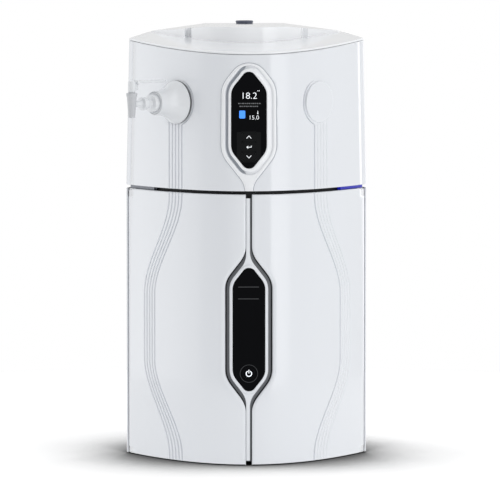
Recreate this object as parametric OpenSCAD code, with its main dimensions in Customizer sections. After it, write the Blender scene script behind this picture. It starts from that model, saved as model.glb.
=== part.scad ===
// Ultrapure water system: a bow-fronted purification cabinet with two doors,
// and a process module with display, tap and reservoir on top of it.
// Millimetres. +Z is up and the front faces -Y. The origin is on the bench,
// under the middle of the cabinet.

/* [Cabinet] */
// Width at the widest point
cabinet_w = 376; // [360:2:396]
// Depth from the nose to the flat back
cabinet_d = 340; // [332:2:360]
// Depth from the nose to the widest point
corner_d = 170; // [160:2:176]
// Radius of the vertical corner edges
corner_r = 10; // [8:1:13]
// Length of the tapered side walls in plan
side_len = 80; // [74:2:88]
// Angle by which the side walls close towards the back
side_angle = 22; // [19:1:25]
// Width of the flat back
back_w = 128; // [120:2:136]
// Thickness of the moulded walls
wall_t = 4; // [3:0.5:5]
// Height of the foot pads
foot_h = 6; // [4:1:9]
// Radius of the foot pads
foot_r = 13; // [10:1:16]
// Thickness of the base plate and of the deck plate
plate_t = 6; // [4:1:8]
// Depth of the deck plate's underside below the top edge of the lower module
deck_drop = 12; // [11:0.5:14]
// Free height between the inlet valve and the deck plate
headroom = 12; // [8:1:30]

/* [Doors] */
// Thickness of the door panels
door_t = 4.5; // [3.5:0.5:5.5]
// Gap between the two doors at the stem
stem_gap = 9.6; // [9:0.2:10.6]
// Clearance under the door panels
door_lift = 1.5; // [1:0.5:6]
// Radius of the round bead that turns on the hinge pins
bead_r = 5.5; // [5:0.5:6]
// Gap between a bead and the shell behind it
bead_gap = 0.8; // [0.6:0.1:1.2]
// Radius of the hinge pins
pin_r = 2; // [1.5:0.25:2.5]
// Running clearance of the hinge pins in the beads
pin_fit = 0.05; // [0.03:0.01:0.09]
// Depth to which a pin enters its bead
pin_depth = 16; // [12:1:24]
// Side of the square steel strike plates
strike_w = 14; // [10:1:16]

/* [Centre pod] */
// Height of the pod's middle above the bench
pod_z = 210; // [206:1:214]
// Width of the lower glass
pod_w = 50; // [48:1:52]
// Height of the lower glass
pod_h = 190; // [184:1:196]
// Width of the flat tips of both glasses
tip_w = 11; // [9:0.5:13]
// Sideways run of the slanted edges for each millimetre of height
slant = 0.8; // [0.75:0.01:0.85]
// Width of the white rim round a glass
rim_w = 5.2; // [4.6:0.2:6]
// Width of the groove between the rim and the doors
groove_w = 7.2; // [6.4:0.2:8]
// Gap between the stem strip and each door
strip_gap = 1.2; // [0.8:0.1:1.6]
// Depth of the stem strip behind the nose
stem_depth = 1.6; // [1:0.1:2.4]
// Height of the power button's middle above the lower tip of the glass
power_up = 27; // [25:1:31]
// Radius of the power button
power_r = 9; // [7:0.5:10]

/* [Upper module] */
// Height of the shadow gap between the two modules
seam_gap = 5; // [4:0.5:7]
// Height of the shell at the nose
upper_h = 212; // [204:2:234]
// Scale of the plan at the top rim
upper_taper = 0.976; // [0.972:0.002:0.988]
// Rise of the top towards the back, in degrees
top_slope = 5.7; // [5:0.1:6.5]
// Thickness of the top cover
cover_t = 3; // [2.5:0.5:4]
// Gap between the shell and the top cover
cover_gap = 0.6; // [0.4:0.1:1]
// Depth from the nose to the front wall of the top hump
hump_d = 122; // [116:1:130]
// Half the width of the hump's curved wall
hump_x = 88; // [80:1:94]
// Height of the hump's top above the rim at the nose
hump_h = 35.5; // [33:0.5:38]

/* [Display] */
// Height of the display's middle above the seam
display_z = 109; // [106:1:112]
// Width of the display glass
display_w = 54; // [52:1:56]
// Height of the display glass
display_h = 148; // [142:1:150]
// Width of the bezel's stem
bezel_stem = 13; // [11:0.5:15]
// Width of the bezel beside the display glass
bezel_edge = 16; // [15:0.5:18]
// Width of the groove in the bezel
bezel_groove = 4.5; // [3.5:0.5:5]
// Height by which the bezel stands off the shell
bezel_h = 2.5; // [2:0.25:3.5]
// Width of a key
key_w = 21; // [18:1:22]
// Height of a key
key_h = 12.6; // [11:0.2:13]
// Pitch of the keys
key_pitch = 15.2; // [14.8:0.2:16]
// Gap round a key
key_gap = 0.25; // [0.2:0.05:0.35]
// Travel of a key
key_travel = 0.6; // [0.4:0.1:0.8]

/* [Tap] */
// Distance of the tap and of the blank cap from the side of the cabinet
tap_in = 77; // [72:1:82]
// Height of the tap above the seam
tap_z = 134; // [130:1:138]
// Radius of the tap's flange
flange_r = 33.5; // [30:0.5:36]
// Radius of the tap's collar
collar_r = 18.5; // [17:0.5:20]
// Distance from the skin to the collar
collar_u = 46; // [43:1:50]
// Distance from the skin to the spout
spout_u = 94; // [90:1:96]
// Radius of the spout body at its top
spout_r = 8.5; // [8:0.25:9.5]
// Radius of the spout at its mouth
mouth_r = 5.2; // [4.8:0.2:6]
// Length of the spout
spout_l = 38; // [34:1:42]
// Radius of the hole for a tap shank
shank_r = 12; // [10:0.5:13]
// Length of the lever
lever_l = 58; // [50:1:62]
// Width of the lever
lever_w = 13; // [11:0.5:15]
// Lift of the plunger when the lever is raised
plunger_lift = 3; // [2:0.5:3.5]
// Radius of the blank cap
blank_r = 32; // [28:0.5:34]

/* [Purification] */
// Radius of a purification pack
pack_r = 47; // [42:1:50]
// Height of a purification pack
pack_h = 262; // [250:2:270]
// Sideways place of a pack
pack_x = 85; // [82:1:90]
// Depth from the nose to a pack
pack_d = 150; // [148:1:154]
// Radius of a pack's neck
neck_r = 14; // [12:0.5:16]
// Travel of a pack off its dock
pack_drop = 12; // [10:0.5:14]
// Free height left under a pack that has dropped off its dock
pack_lift = 16; // [12:1:20]
// Height of a dock
dock_t = 30; // [26:1:34]
// Radius of the reverse osmosis module
ro_r = 29; // [25:1:31]
// Radius of the ultraviolet reactor
uv_r = 19; // [17:1:20]
// Radius of the ultrafilter
filter_r = 17; // [15:1:19]
// Radius of the pump motor
motor_r = 27; // [24:1:28]
// Radius of the pump's rotor
rotor_r = 15; // [12:1:16]
// Outside radius of the inner tubes
tube_r = 4; // [3:0.5:4.5]
// Height of the flow manifold
manifold_h = 22; // [18:1:26]
// Depth of the flow manifold
manifold_d = 36; // [30:1:40]

/* [Rear services] */
// Width of the rear service panel
service_w = 104; // [100:2:110]
// Height of the rear service panel
service_h = 300; // [280:2:310]
// Radius of the push-in tube ports
port_r = 4.05; // [3.05:0.5:5.05]
// Depth of the push-in tube ports
port_l = 14; // [12:1:16]
// Pitch of the wall screws across the back
screw_x = 84; // [80:2:88]
// Pitch of the wall screws up the back
screw_z = 270; // [250:2:276]
// Radius of the wall screw holes
screw_r = 2.75; // [2:0.25:3.25]

/* [Hidden] */

eps = 0.01;
clear = 0.3;
half_w = cabinet_w / 2;
tap_x = half_w - tap_in;
power_z = pod_z - pod_h / 2 + power_up;
nose_y = -cabinet_d / 2;
back_y = cabinet_d / 2;
curve_k = half_w * half_w / corner_d;

// The stack of packs, docks, shelf, manifold and valve sets the lower height.
base_top = foot_h + plate_t;
pack_z = base_top + pack_lift + pack_drop;
pack_top = pack_z + pack_h;
dock_z = pack_top + dock_t;
shelf_t = 4;
manifold_z = dock_z + shelf_t;
valve_base = 12;
valve_l = 24;
deck_z = manifold_z + manifold_h + valve_base + valve_l + headroom;
deck_top = deck_z + plate_t;
lower_h = deck_z + deck_drop;
service_drop = 66;
service_z0 = deck_z - service_drop - service_h;
upper_z0 = lower_h + seam_gap;
rim_z = upper_z0 + upper_h;
taper_rate = (1 - upper_taper) / upper_h;
front_steps = 22;

// Angle of the front curve's tangent, and a point on the curve at an inset.
function slope(x) = atan(2 * x / curve_k);
function skin(x, inset) = [
    x - inset * sin(slope(x)),
    nose_y + x * x / curve_k + inset * cos(slope(x)),
];
function unit(v) = v / norm(v);
function bend(a, b, c, steps) = [
    for (i = [0:steps]) let (t = i / steps)
    (1 - t) * (1 - t) * a + 2 * t * (1 - t) * b + t * t * c,
];
function toward(b, a, reach) = b + unit(a - b) * min(reach, norm(a - b) / 2.2);
function soften(pts, cut, steps = 6) = [
    for (i = [0:len(pts) - 1])
    let (a = pts[(i + len(pts) - 1) % len(pts)], b = pts[i], c = pts[(i + 1) % len(pts)])
    each bend(toward(b, a, cut), b, toward(b, c, cut), steps),
];
function reversed(list) = [for (i = [len(list) - 1:-1:0]) list[i]];
function flipped(list) = [for (p = reversed(list)) [-p[0], p[1]]];
function shrunk(pts, d) = [
    for (i = [0:len(pts) - 1])
    let (
        a = pts[(i + len(pts) - 1) % len(pts)], b = pts[i], c = pts[(i + 1) % len(pts)],
        u = unit(b - a), v = unit(c - b),
        nu = [-u[1], u[0]], nv = [-v[1], v[0]], m = unit(nu + nv)
    )
    b + m * d / (m * nu),
];

// Plan of the cabinet: a parabola in front, round corners, tapered sides.
front_x = half_w - corner_r * (1 - sin(slope(half_w)));
corner_c = skin(front_x, corner_r);
corner_a0 = slope(front_x) - 90;
corner_end = corner_c + corner_r * [cos(side_angle), sin(side_angle)];
side_end = corner_end + side_len * [-sin(side_angle), cos(side_angle)];
back_end = [back_w / 2, back_y];
side_cut = 16;
back_cut = 12;
curve_half = [for (i = [0:front_steps - 1]) skin(front_x * i / front_steps, 0)];
rear_half = concat(
    [for (i = [0:5]) let (a = corner_a0 + (side_angle - corner_a0) * i / 5)
        corner_c + corner_r * [cos(a), sin(a)]],
    bend(toward(side_end, corner_end, side_cut), side_end,
        toward(side_end, back_end, side_cut), 5),
    bend(toward(back_end, side_end, back_cut), back_end,
        toward(back_end, [0, back_y], back_cut), 5)
);
half_plan = concat(curve_half, rear_half);
plan = concat(half_plan, [for (i = [len(half_plan) - 1:-1:1]) [-half_plan[i][0], half_plan[i][1]]]);

// The same plan with plain corners, for pieces that lie well inside it.
core_steps = 12;
core_half = concat(
    [for (i = [0:core_steps]) skin(front_x * i / core_steps, 0)],
    [side_end, back_end]
);
core_plan = concat(core_half, [for (i = [len(core_half) - 1:-1:1]) [-core_half[i][0], core_half[i][1]]]);

// Levels of the lower module.
base_z = foot_h;
floor_z = upper_z0 + 1.5;
floor_t = 4;
floor_top = floor_z + floor_t;
plate_inset = door_t + 2.5;

// Door hinge axis, and the heights between which the beads run.
hinge_x = front_x - (bead_r + bead_gap) * cos(slope(front_x));
hinge_c = skin(hinge_x, bead_r);
bead_z0 = base_top + clear;
bead_z1 = deck_z - clear;
hinge_notch = bead_r + 5;

// Outline of a glass: straight sides, slanted ends and narrow tips.
function side_of(w, h) = h / 2 - (w - tip_w) / 2 / slant;
function lozenge(w, h) = let (s = side_of(w, h)) [
    [w / 2, -s], [w / 2, s], [tip_w / 2, h / 2], [-tip_w / 2, h / 2],
    [-w / 2, s], [-w / 2, -s], [-tip_w / 2, -h / 2], [tip_w / 2, -h / 2],
];
function glass(w, h, grow) = soften(shrunk(lozenge(w, h), -grow), 9);

// The same outline grown sideways, running into a stem above and below.
function stemmed(w, h, grow, stem, up, down) = let (
    s = shrunk(lozenge(w, h), -grow)[1],
    neck = s[1] + (s[0] - stem / 2) / slant
) [
    [s[0], -s[1]], s, [stem / 2, neck], [stem / 2, up],
    [-stem / 2, up], [-stem / 2, neck], [-s[0], s[1]], [-s[0], -s[1]],
    [-stem / 2, -neck], [-stem / 2, -down], [stem / 2, -down], [stem / 2, -neck],
];

// A prism along Y from y0 back to y1, with its outline in X and Z.
module along_y(pts, y0, y1, z = 0) {
    translate([0, y1, z])
        rotate([90, 0, 0])
            linear_extrude(height = y1 - y0)
                polygon(pts);
}

// A strip of the front curve between two insets.
function strip(x0, x1, i0, i1, steps = 22) = concat(
    [for (i = [0:steps]) skin(x0 + (x1 - x0) * i / steps, i0)],
    [for (i = [steps:-1:0]) skin(x0 + (x1 - x0) * i / steps, i1)]
);
module curved(x0, x1, i0, i1, z0, z1, steps = 22) {
    translate([0, 0, z0])
        linear_extrude(height = z1 - z0)
            polygon(strip(x0, x1, i0, i1, steps));
}
module block(w, d, h, at) {
    translate([at[0] - w / 2, at[1] - d / 2, at[2]])
        cube([w, d, h]);
}
module rod(r, h, at, fn = 48) {
    translate(at)
        cylinder(r = r, h = h, $fn = fn);
}
module both_sides() {
    children();
    mirror([1, 0, 0])
        children();
}

// Local frames: +Z points out of the skin, +X runs along it and +Y is up.
function upper_scale(z) = 1 - taper_rate * (z - upper_z0);
module on_skin(x, z) {
    p = skin(x, 0) * upper_scale(z);
    translate([p[0], p[1], z])
        rotate([90, 0, slope(x)])
            children();
}
face_tilt = atan(-nose_y * taper_rate);
module on_face() {
    translate([0, nose_y, upper_z0])
        rotate([-face_tilt, 0, 0])
            translate([0, -nose_y, -upper_z0])
                children();
}

// The drafted solid of the upper module, and the space under its sloped top.
draft_h = upper_h + cabinet_d * tan(top_slope) + 30;
module drafted(inset) {
    translate([0, 0, upper_z0])
        linear_extrude(height = draft_h, scale = 1 - taper_rate * draft_h)
            polygon(shrunk(plan, inset));
}
module under_top(drop) {
    translate([0, nose_y, rim_z - drop])
        rotate([top_slope, 0, 0])
            translate([-cabinet_w, -cabinet_d, -2 * draft_h])
                cube([2 * cabinet_w, 3 * cabinet_d, 2 * draft_h]);
}
// ---- Lower module: frame ----

front_foot_side = 76;
front_foot_back = 130;
back_foot_side = 106;
back_foot_front = 55;
front_foot = [half_w - front_foot_side, nose_y + front_foot_back];
back_foot = [half_w - back_foot_side, back_y - back_foot_front];
module feet() {
    color("dimgray")
        both_sides()
            for (place = [front_foot, back_foot])
                rod(foot_r, foot_h, [place[0], place[1], 0]);
}

function plate_outline(front_in, rear_in) = let (
    half = concat(
        [for (i = [0:front_steps - 1]) skin(front_x * i / front_steps, front_in)],
        [for (i = [0:5]) let (a = corner_a0 + (side_angle - corner_a0) * i / 5)
            corner_c + (corner_r - (i < 1 ? front_in : rear_in)) * [cos(a), sin(a)]],
        [for (i = [front_steps + 6:len(half_plan) - 1]) shrunk(plan, rear_in)[i]]
    )
) concat(half, [for (i = [len(half) - 1:-1:1]) [-half[i][0], half[i][1]]]);
module cabinet_plate(z, t) {
    translate([0, 0, z])
        linear_extrude(height = t)
            polygon(plate_outline(plate_inset, wall_t + clear));
    both_sides()
        rod(bead_r - clear, t, [hinge_c[0], hinge_c[1], z]);
}
module pin_holes(z, t) {
    both_sides()
        rod(pin_r + eps, t + 2, [hinge_c[0], hinge_c[1], z - 1]);
}
module base_plate() {
    color("dimgray")
        difference() {
            cabinet_plate(base_z, plate_t);
            pin_holes(base_z, plate_t);
        }
}
module deck_plate() {
    color([0.07, 0.07, 0.08])
        difference() {
            cabinet_plate(deck_z, plate_t);
            pin_holes(deck_z, plate_t);
            riser_hole(deck_z, plate_t);
        }
}
riser_back = 235;
riser_y = nose_y + riser_back;
riser_hole_r = 30;
module riser_hole(z, t) {
    rod(riser_hole_r, t + 2, [0, riser_y, z - 1]);
}
seam_in = 12;
seam_wall = 16;
module seam_frame() {
    color([0.05, 0.05, 0.06])
        translate([0, 0, deck_top])
            linear_extrude(height = floor_z - deck_top)
                difference() {
                    polygon(shrunk(core_plan, seam_in));
                    polygon(shrunk(core_plan, seam_in + seam_wall));
                }
}
light_w = 38;
light_in = 6;
module seam_light(shade) {
    color(shade)
        curved(half_w - light_w, front_x, light_in, seam_in - clear,
            lower_h + clear, upper_z0 - clear, 6);
}
module seam_light_left() {
    mirror([1, 0, 0])
        seam_light("silver");
}
module seam_light_right() {
    seam_light([0.1, 0.15, 0.75]);
}

// The rear shell starts behind the beads and runs round the back.
service_lip = 15;
module rear_shell() {
    inner = shrunk(plan, wall_t);
    right = [for (i = [front_steps:len(half_plan) - 1]) i];
    outer_pts = [for (i = right) plan[i]];
    inner_pts = [for (i = right) inner[i]];
    color("whitesmoke")
        difference() {
            translate([0, 0, door_lift])
                linear_extrude(height = lower_h - door_lift)
                    polygon(concat(outer_pts, flipped(outer_pts),
                        [for (p = inner_pts) [-p[0], p[1]]], reversed(inner_pts)));
            wall_screws(back_y - wall_t - 1, wall_t + 2, screw_r);
            block(service_w - 2 * service_lip, wall_t + 2, service_h - 4 * service_lip,
                [0, back_y - wall_t / 2, service_z0 + 2 * service_lip]);
        }
}

spine_w = 66;
spine_d0 = 15;
spine_d1 = 36;
spine_front = 3;
spine_lip = 3;
module spine() {
    y0 = nose_y + spine_d0;
    color([0.05, 0.05, 0.06])
        difference() {
            union() {
                block(spine_w, spine_d1 - spine_d0, deck_z - base_top,
                    [0, nose_y + (spine_d0 + spine_d1) / 2, base_top]);
                along_y(glass(pod_w, pod_h, rim_w + groove_w + spine_lip), y0, y0 + spine_front, pod_z);
            }
            block(spine_w - 2 * wall_t, spine_d1 - spine_d0, deck_z - base_top - 2 * wall_t,
                [0, nose_y + (spine_d0 + spine_d1) / 2 + spine_front, base_top + wall_t]);
            rod_y(power_r - stem_in, y0 - 1, spine_front + 2, power_z);
        }
}
module rod_y(r, y, l, z, x = 0, fn = 48) {
    translate([x, y + l, z])
        rotate([90, 0, 0])
            cylinder(r = r, h = l, $fn = fn);
}

glass_d = 3.6;
glass_t = 2.5;
rim_in = 0.5;
notch_h = 6;
strip_w = stem_gap - 2 * strip_gap;
function strip_outline(z0, z1) =
    soften(stemmed(pod_w, pod_h, rim_w, strip_w, z1 - pod_z, pod_z - z0), 14, 8);
module centre_trim() {
    color("whitesmoke")
        difference() {
            union() {
                intersection() {
                    along_y(glass(pod_w, pod_h, rim_w), nose_y, nose_y + spine_d0, pod_z);
                    curved(-half_w / 2, half_w / 2, rim_in, half_w / 3, 0, lower_h);
                }
                along_y(strip_outline(door_lift + notch_h, lower_h - notch_h),
                    nose_y + stem_depth, nose_y + plate_inset - clear, pod_z);
                along_y(strip_outline(base_top + clear, deck_z - clear),
                    nose_y + plate_inset - 2 * clear, nose_y + spine_d0, pod_z);
            }
            along_y(glass(pod_w, pod_h, clear), nose_y - 1,
                nose_y + glass_d + glass_t, pod_z);
            rod_y(power_r + 2, nose_y, spine_d0 + 1, power_z);
        }
}
module power_panel() {
    color([0.02, 0.02, 0.025])
        difference() {
            along_y(glass(pod_w, pod_h, 0), nose_y + glass_d,
                nose_y + glass_d + glass_t, pod_z);
            rod_y(power_r + key_gap, nose_y, glass_d + glass_t + 1, power_z);
        }
}
button_skirt = 1;
stem_in = 2;
module power_button() {
    y0 = nose_y + glass_d;
    color([0.03, 0.03, 0.035]) {
        rod_y(power_r, y0, glass_t + button_skirt, power_z);
        rod_y(power_r - stem_in - 1, y0 + glass_t + button_skirt,
            spine_d0 + spine_front - glass_d - glass_t, power_z);
    }
}
board_t = 1.6;
board_y = spine_d0 + spine_front + button_skirt + key_travel + clear;
power_board_w = 40;
power_board_h = 70;
post_r = 3;
post_in = 6;
module board_posts(w, h, y, l, mid_z) {
    for (sx = [-1, 1], sz = [-1, 1])
        rod_y(post_r, y, l, mid_z + sz * (h / 2 - post_in), sx * (w / 2 - post_in));
}
module power_board() {
    y0 = nose_y + spine_d0 + spine_front;
    color("darkgreen") {
        block(power_board_w, board_t, power_board_h,
            [0, nose_y + board_y + board_t / 2, power_z - power_board_h / 2]);
        board_posts(power_board_w, power_board_h, y0, nose_y + board_y - y0, power_z);
    }
}

// ---- Lower module: doors ----

// The cut-out in the doors follows the pod and runs into the stem gap.
function door_cut() = soften(stemmed(pod_w, pod_h, rim_w + groove_w, stem_gap,
    lower_h, lower_h), 14, 8);
module door() {
    difference() {
        union() {
            curved(stem_gap / 4, hinge_x, 0, door_t, door_lift, lower_h);
            rod(bead_r, bead_z1 - bead_z0, [hinge_c[0], hinge_c[1], bead_z0], 64);
        }
        along_y(door_cut(), nose_y - 1, nose_y + half_w / 4, pod_z);
        for (z = [door_lift - 1, bead_z1])
            rod(hinge_notch, z < bead_z0 ? bead_z0 - z : lower_h - z + 1,
                [hinge_c[0], hinge_c[1], z]);
        for (z = [bead_z0 - 1, bead_z1 - pin_depth - 1])
            rod(pin_r + pin_fit, pin_depth + 2, [hinge_c[0], hinge_c[1], z]);
    }
}
module left_door() {
    color("whitesmoke")
        mirror([1, 0, 0])
            door();
}
module right_door() {
    color("whitesmoke")
        door();
}
strike_t = 1.2;
strike_gap = 0.1;
strike_x = spine_w / 2 - strike_w / 2 - 2;
strike_drop = 60;
strike_z = deck_z - strike_drop;
strike_in = door_t + strike_gap;
module strike() {
    color("silver")
        curved(strike_x - strike_w / 2, strike_x + strike_w / 2, strike_in, strike_in + strike_t,
            strike_z, strike_z + strike_w, 8);
}
module left_strike() {
    mirror([1, 0, 0])
        strike();
}
module right_strike() {
    strike();
}
module hinge_pins() {
    color("silver")
        both_sides() {
            rod(pin_r, plate_t + pin_depth, [hinge_c[0], hinge_c[1], base_z]);
            rod(pin_r, plate_t + pin_depth, [hinge_c[0], hinge_c[1], deck_top - plate_t - pin_depth]);
        }
}
module door_catches() {
    front = skin(strike_x + strike_w / 2, strike_in + strike_t)[1] + clear;
    side = strike_w - 3;
    color("dimgray")
        both_sides()
            block(side, nose_y + spine_d0 - front, side,
                [strike_x, (nose_y + spine_d0 + front) / 2, strike_z + (strike_w - side) / 2]);
}

// ---- Lower module: purification ----

pack_y = nose_y + pack_d;
neck_l = pack_drop - 2;
tray_h = 9;
tray_t = 2;
tray_end = 10;
module drip_tray() {
    w = 2 * (pack_x + pack_r - tray_end);
    d = 2 * (pack_r + tray_t);
    color("lightgray")
        difference() {
            block(w, d, tray_h, [0, pack_y, base_top]);
            block(w - 2 * tray_t, d - 2 * tray_t, tray_h, [0, pack_y, base_top + tray_t]);
        }
}
shelf_inset = plate_inset + 8;
module dock_plate() {
    cut = spine_d1 + clear;
    color("lightgray")
        difference() {
            translate([0, 0, dock_z])
                linear_extrude(height = shelf_t)
                    polygon(plate_outline(shelf_inset, wall_t + clear));
            block(spine_w + 2 * clear, 2 * cut, shelf_t + 2, [0, nose_y, dock_z - 1]);
            riser_hole(dock_z, shelf_t);
        }
}
dock_in = 6;
arm = [26, 30, 12];
module dock(x) {
    color("gainsboro")
        difference() {
            union() {
                rod(pack_r - dock_in, dock_t, [x, pack_y, pack_top], 64);
                block(arm[0], arm[1], arm[2], [x, pack_y + pack_r - dock_in, dock_z - arm[2]]);
            }
            rod(neck_r + clear, neck_l + clear, [x, pack_y, pack_top - eps]);
        }
}
module left_dock() {
    dock(-pack_x);
}
module right_dock() {
    dock(pack_x);
}
module pack(x) {
    color("aliceblue") {
        translate([x, pack_y, pack_z])
            rotate_extrude($fn = 72)
                polygon([
                    [0, 0], [pack_r - 6, 0], [pack_r - 1.5, 1.5], [pack_r, 6],
                    [pack_r, pack_h - 18], [pack_r - 3, pack_h - 14],
                    [pack_r - 3, pack_h - 6], [pack_r - 8, pack_h],
                    [neck_r, pack_h], [neck_r, pack_h + neck_l], [0, pack_h + neck_l],
                ]);
    }
}
module left_pack() {
    pack(-pack_x);
}
module right_pack() {
    pack(pack_x);
}
rear_in = 78;
rear_y = back_y - rear_in;
module vessel(r, h, cap_r, cap_h, x, y) {
    rod(cap_r, cap_h, [x, y, base_top]);
    rod(r, h - 2 * cap_h, [x, y, base_top + cap_h]);
    rod(cap_r, cap_h, [x, y, base_top + h - cap_h]);
}
module ro_module() {
    color("white")
        vessel(ro_r - 2, pack_h, ro_r, 22, 0, rear_y);
}
uv_in = 58;
uv_x = half_w - uv_in;
uv_y = pack_y + pack_r + tray_t + uv_r + 1;
uv_floor = 8;
lamp_r = 7.5;
module uv_reactor() {
    color("silver")
        difference() {
            vessel(uv_r - 2, pack_h, uv_r, 16, -uv_x, uv_y);
            rod(uv_r - 6, pack_h - uv_floor + eps, [-uv_x, uv_y, base_top + uv_floor]);
        }
}
module uv_lamp() {
    color("lavender")
        rod(lamp_r, pack_h - 20, [-uv_x, uv_y, base_top + uv_floor]);
}
module ultrafilter() {
    color("white")
        vessel(filter_r - 2, pack_h - 40, filter_r, 14, uv_x, uv_y);
}
motor_in = 112;
motor_x = half_w - motor_in;
motor_h = 74;
head_h = 34;
head_wall = 5;
nozzle_l = 10;
shaft_r = 2.5;
shaft_gap = 0.2;
vane_t = 2.5;
vanes = 6;
module pump_motor() {
    color("dimgray")
        rod(motor_r, motor_h, [-motor_x, rear_y, base_top]);
}
module pump_head() {
    z = base_top + motor_h;
    color("gray")
        difference() {
            union() {
                rod(motor_r - 3, head_h, [-motor_x, rear_y, z]);
                rod(tube_r + 3, nozzle_l, [-motor_x, rear_y, z + head_h]);
            }
            rod(rotor_r + 0.5, head_h - 2 * head_wall,
                [-motor_x, rear_y, z + head_wall]);
            rod(shaft_r + pin_fit, head_wall + 2, [-motor_x, rear_y, z - 1]);
            rod(tube_r + pin_fit, nozzle_l + eps, [-motor_x, rear_y, z + head_h + eps]);
        }
}
module pump_rotor() {
    z = base_top + motor_h + head_wall + clear;
    h = head_h - 2 * head_wall - 2 * clear;
    shaft_l = head_wall + clear - shaft_gap;
    color("black")
        union() {
            rod(2 * shaft_r, h, [-motor_x, rear_y, z]);
            for (i = [0:vanes - 1])
                translate([-motor_x, rear_y, z])
                    rotate([0, 0, 360 / vanes * i])
                        translate([0, -vane_t / 2, 0])
                            cube([rotor_r, vane_t, h - 2]);
            rod(shaft_r, shaft_l, [-motor_x, rear_y, z - shaft_l]);
        }
}
supply = [50, 44, 130];
module power_supply() {
    color("silver")
        block(supply[0], supply[1], supply[2], [motor_x, rear_y, base_top]);
}
manifold_w = 150;
manifold_back = 25;
manifold_y = pack_y + manifold_back;
manifold_top = manifold_z + manifold_h;
fitting_x = 45;
module manifold() {
    color("lightgray")
        block(manifold_w, manifold_d, manifold_h, [0, manifold_y, manifold_z]);
}
module inlet_valve() {
    color("dimgray") {
        block(valve_base * 2, valve_base * 2, valve_base, [-fitting_x, manifold_y, manifold_top]);
        rod(9, valve_l, [-fitting_x, manifold_y, manifold_top + valve_base - eps]);
    }
}
module conductivity_cell() {
    color("gold")
        rod(6, valve_l + 2, [fitting_x, manifold_y, manifold_top]);
}
main_board_w = 100;
main_board_h = 52;
standoff = 12;
board_gap = 8;
module main_board() {
    y = back_y - wall_t - standoff;
    mid_z = service_z0 + service_h + main_board_h / 2 + board_gap;
    color("darkgreen") {
        block(main_board_w, board_t, main_board_h,
            [0, y + board_t / 2, mid_z - main_board_h / 2]);
        board_posts(main_board_w, main_board_h, y + board_t, standoff - board_t, mid_z);
    }
}

// ---- Rear services ----

service_t = 2.5;
service_mid = service_z0 + service_h / 2;
module wall_screws(y, l, r) {
    for (sx = [-1, 1], sz = [-1, 1])
        rod_y(r, y, l, service_mid + sz * screw_z / 2, sx * screw_x / 2);
}
port_pitch = 24;
ports = 3;
port_up = 60;
port_z = service_z0 + port_up;
port_body_r = 7;
collet_r = 9.5;
inlet_up = 200;
inlet_z = service_z0 + inlet_up;
inlet_body = [28, 22, 20];
inlet_wall = 2;
module service_panel() {
    color("lightgray")
        difference() {
            block(service_w, service_t, service_h,
                [0, back_y + service_t / 2, service_z0]);
            wall_screws(back_y - 1, service_t + 2, screw_r);
            for (i = [0:ports - 1])
                rod_y(port_body_r + clear, back_y - 1, service_t + 2, port_z,
                    (i - 1) * port_pitch);
            block(inlet_body[0] + 2 * clear, service_t + 2, inlet_body[2] + 2 * clear,
                [0, back_y + service_t / 2, inlet_z - clear]);
        }
}
port_out = 9;
module tube_ports() {
    y0 = back_y + service_t;
    color([0.2, 0.35, 0.75])
        for (i = [0:ports - 1])
            difference() {
                union() {
                    rod_y(collet_r, y0, port_out, port_z, (i - 1) * port_pitch);
                    rod_y(port_body_r, y0 - service_t - wall_t - 4,
                        service_t + wall_t + 4 + eps, port_z, (i - 1) * port_pitch);
                }
                rod_y(port_r, y0 + port_out - port_l, port_l + 1, port_z,
                    (i - 1) * port_pitch);
            }
}
blade = [2, 14, 5];
blade_pitch = 7;
module power_inlet() {
    y0 = back_y + service_t;
    rim = 4;
    w = inlet_body[0];
    d = inlet_body[1];
    h = inlet_body[2];
    color([0.08, 0.08, 0.08])
        difference() {
            union() {
                block(w + 2 * rim, inlet_wall, h + 2 * rim, [0, y0 + inlet_wall / 2, inlet_z - rim]);
                block(w, d, h, [0, y0 - d / 2, inlet_z]);
            }
            block(w - 2 * inlet_wall, d, h - 2 * inlet_wall,
                [0, y0 - d / 2 + inlet_wall + 5, inlet_z + inlet_wall]);
        }
    color("silver")
        for (i = [-1:1])
            block(blade[0], blade[1], blade[2],
                [i * blade_pitch, y0 - d + blade[1] / 2 + 1, inlet_z + (i == 0 ? 10 : 6)]);
}
head_r = 3;
head_in = 8;
module panel_screws() {
    color("silver")
        for (sx = [-1, 1], z = [service_z0 + head_in, service_z0 + service_h - head_in])
            rod_y(head_r, back_y + service_t, 1.6, z, sx * (service_w / 2 - 3 * head_in));
}

// ---- Upper module: casing ----

module upper_floor() {
    color("lightgray")
        difference() {
            translate([0, 0, floor_z])
                linear_extrude(height = floor_t)
                    polygon(shrunk(plan, wall_t + 0.5));
            riser_hole(floor_z, floor_t);
        }
}
split_y = 24;
module upper_casing() {
    difference() {
        drafted(0);
        drafted(wall_t);
        translate([0, 0, upper_z0 - 1])
            linear_extrude(height = 2)
                polygon(shrunk(plan, wall_t));
    }
}
module cut_top(drop) {
    intersection() {
        children();
        under_top(drop);
    }
}
module upper_shell() {
    color("whitesmoke")
        difference() {
            intersection() {
                cut_top(cover_t + cover_gap)
                    upper_casing();
                translate([-cabinet_w, -cabinet_d, 0])
                    cube([2 * cabinet_w, cabinet_d + split_y, 2 * rim_z]);
            }
            on_face()
                along_y(glass(display_w, display_h, 1),
                    nose_y - 2, nose_y + 20, upper_z0 + display_z);
            for (x = [-tap_x, tap_x])
                on_skin(x, upper_z0 + tap_z)
                    translate([0, 0, -20])
                        cylinder(r = shank_r + clear, h = 40, $fn = 64);
        }
}
module upper_rear_cover() {
    color("whitesmoke")
        intersection() {
            cut_top(cover_t + cover_gap)
                upper_casing();
            translate([-cabinet_w, split_y + clear, 0])
                cube([2 * cabinet_w, cabinet_d, 2 * rim_z]);
        }
}

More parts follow.
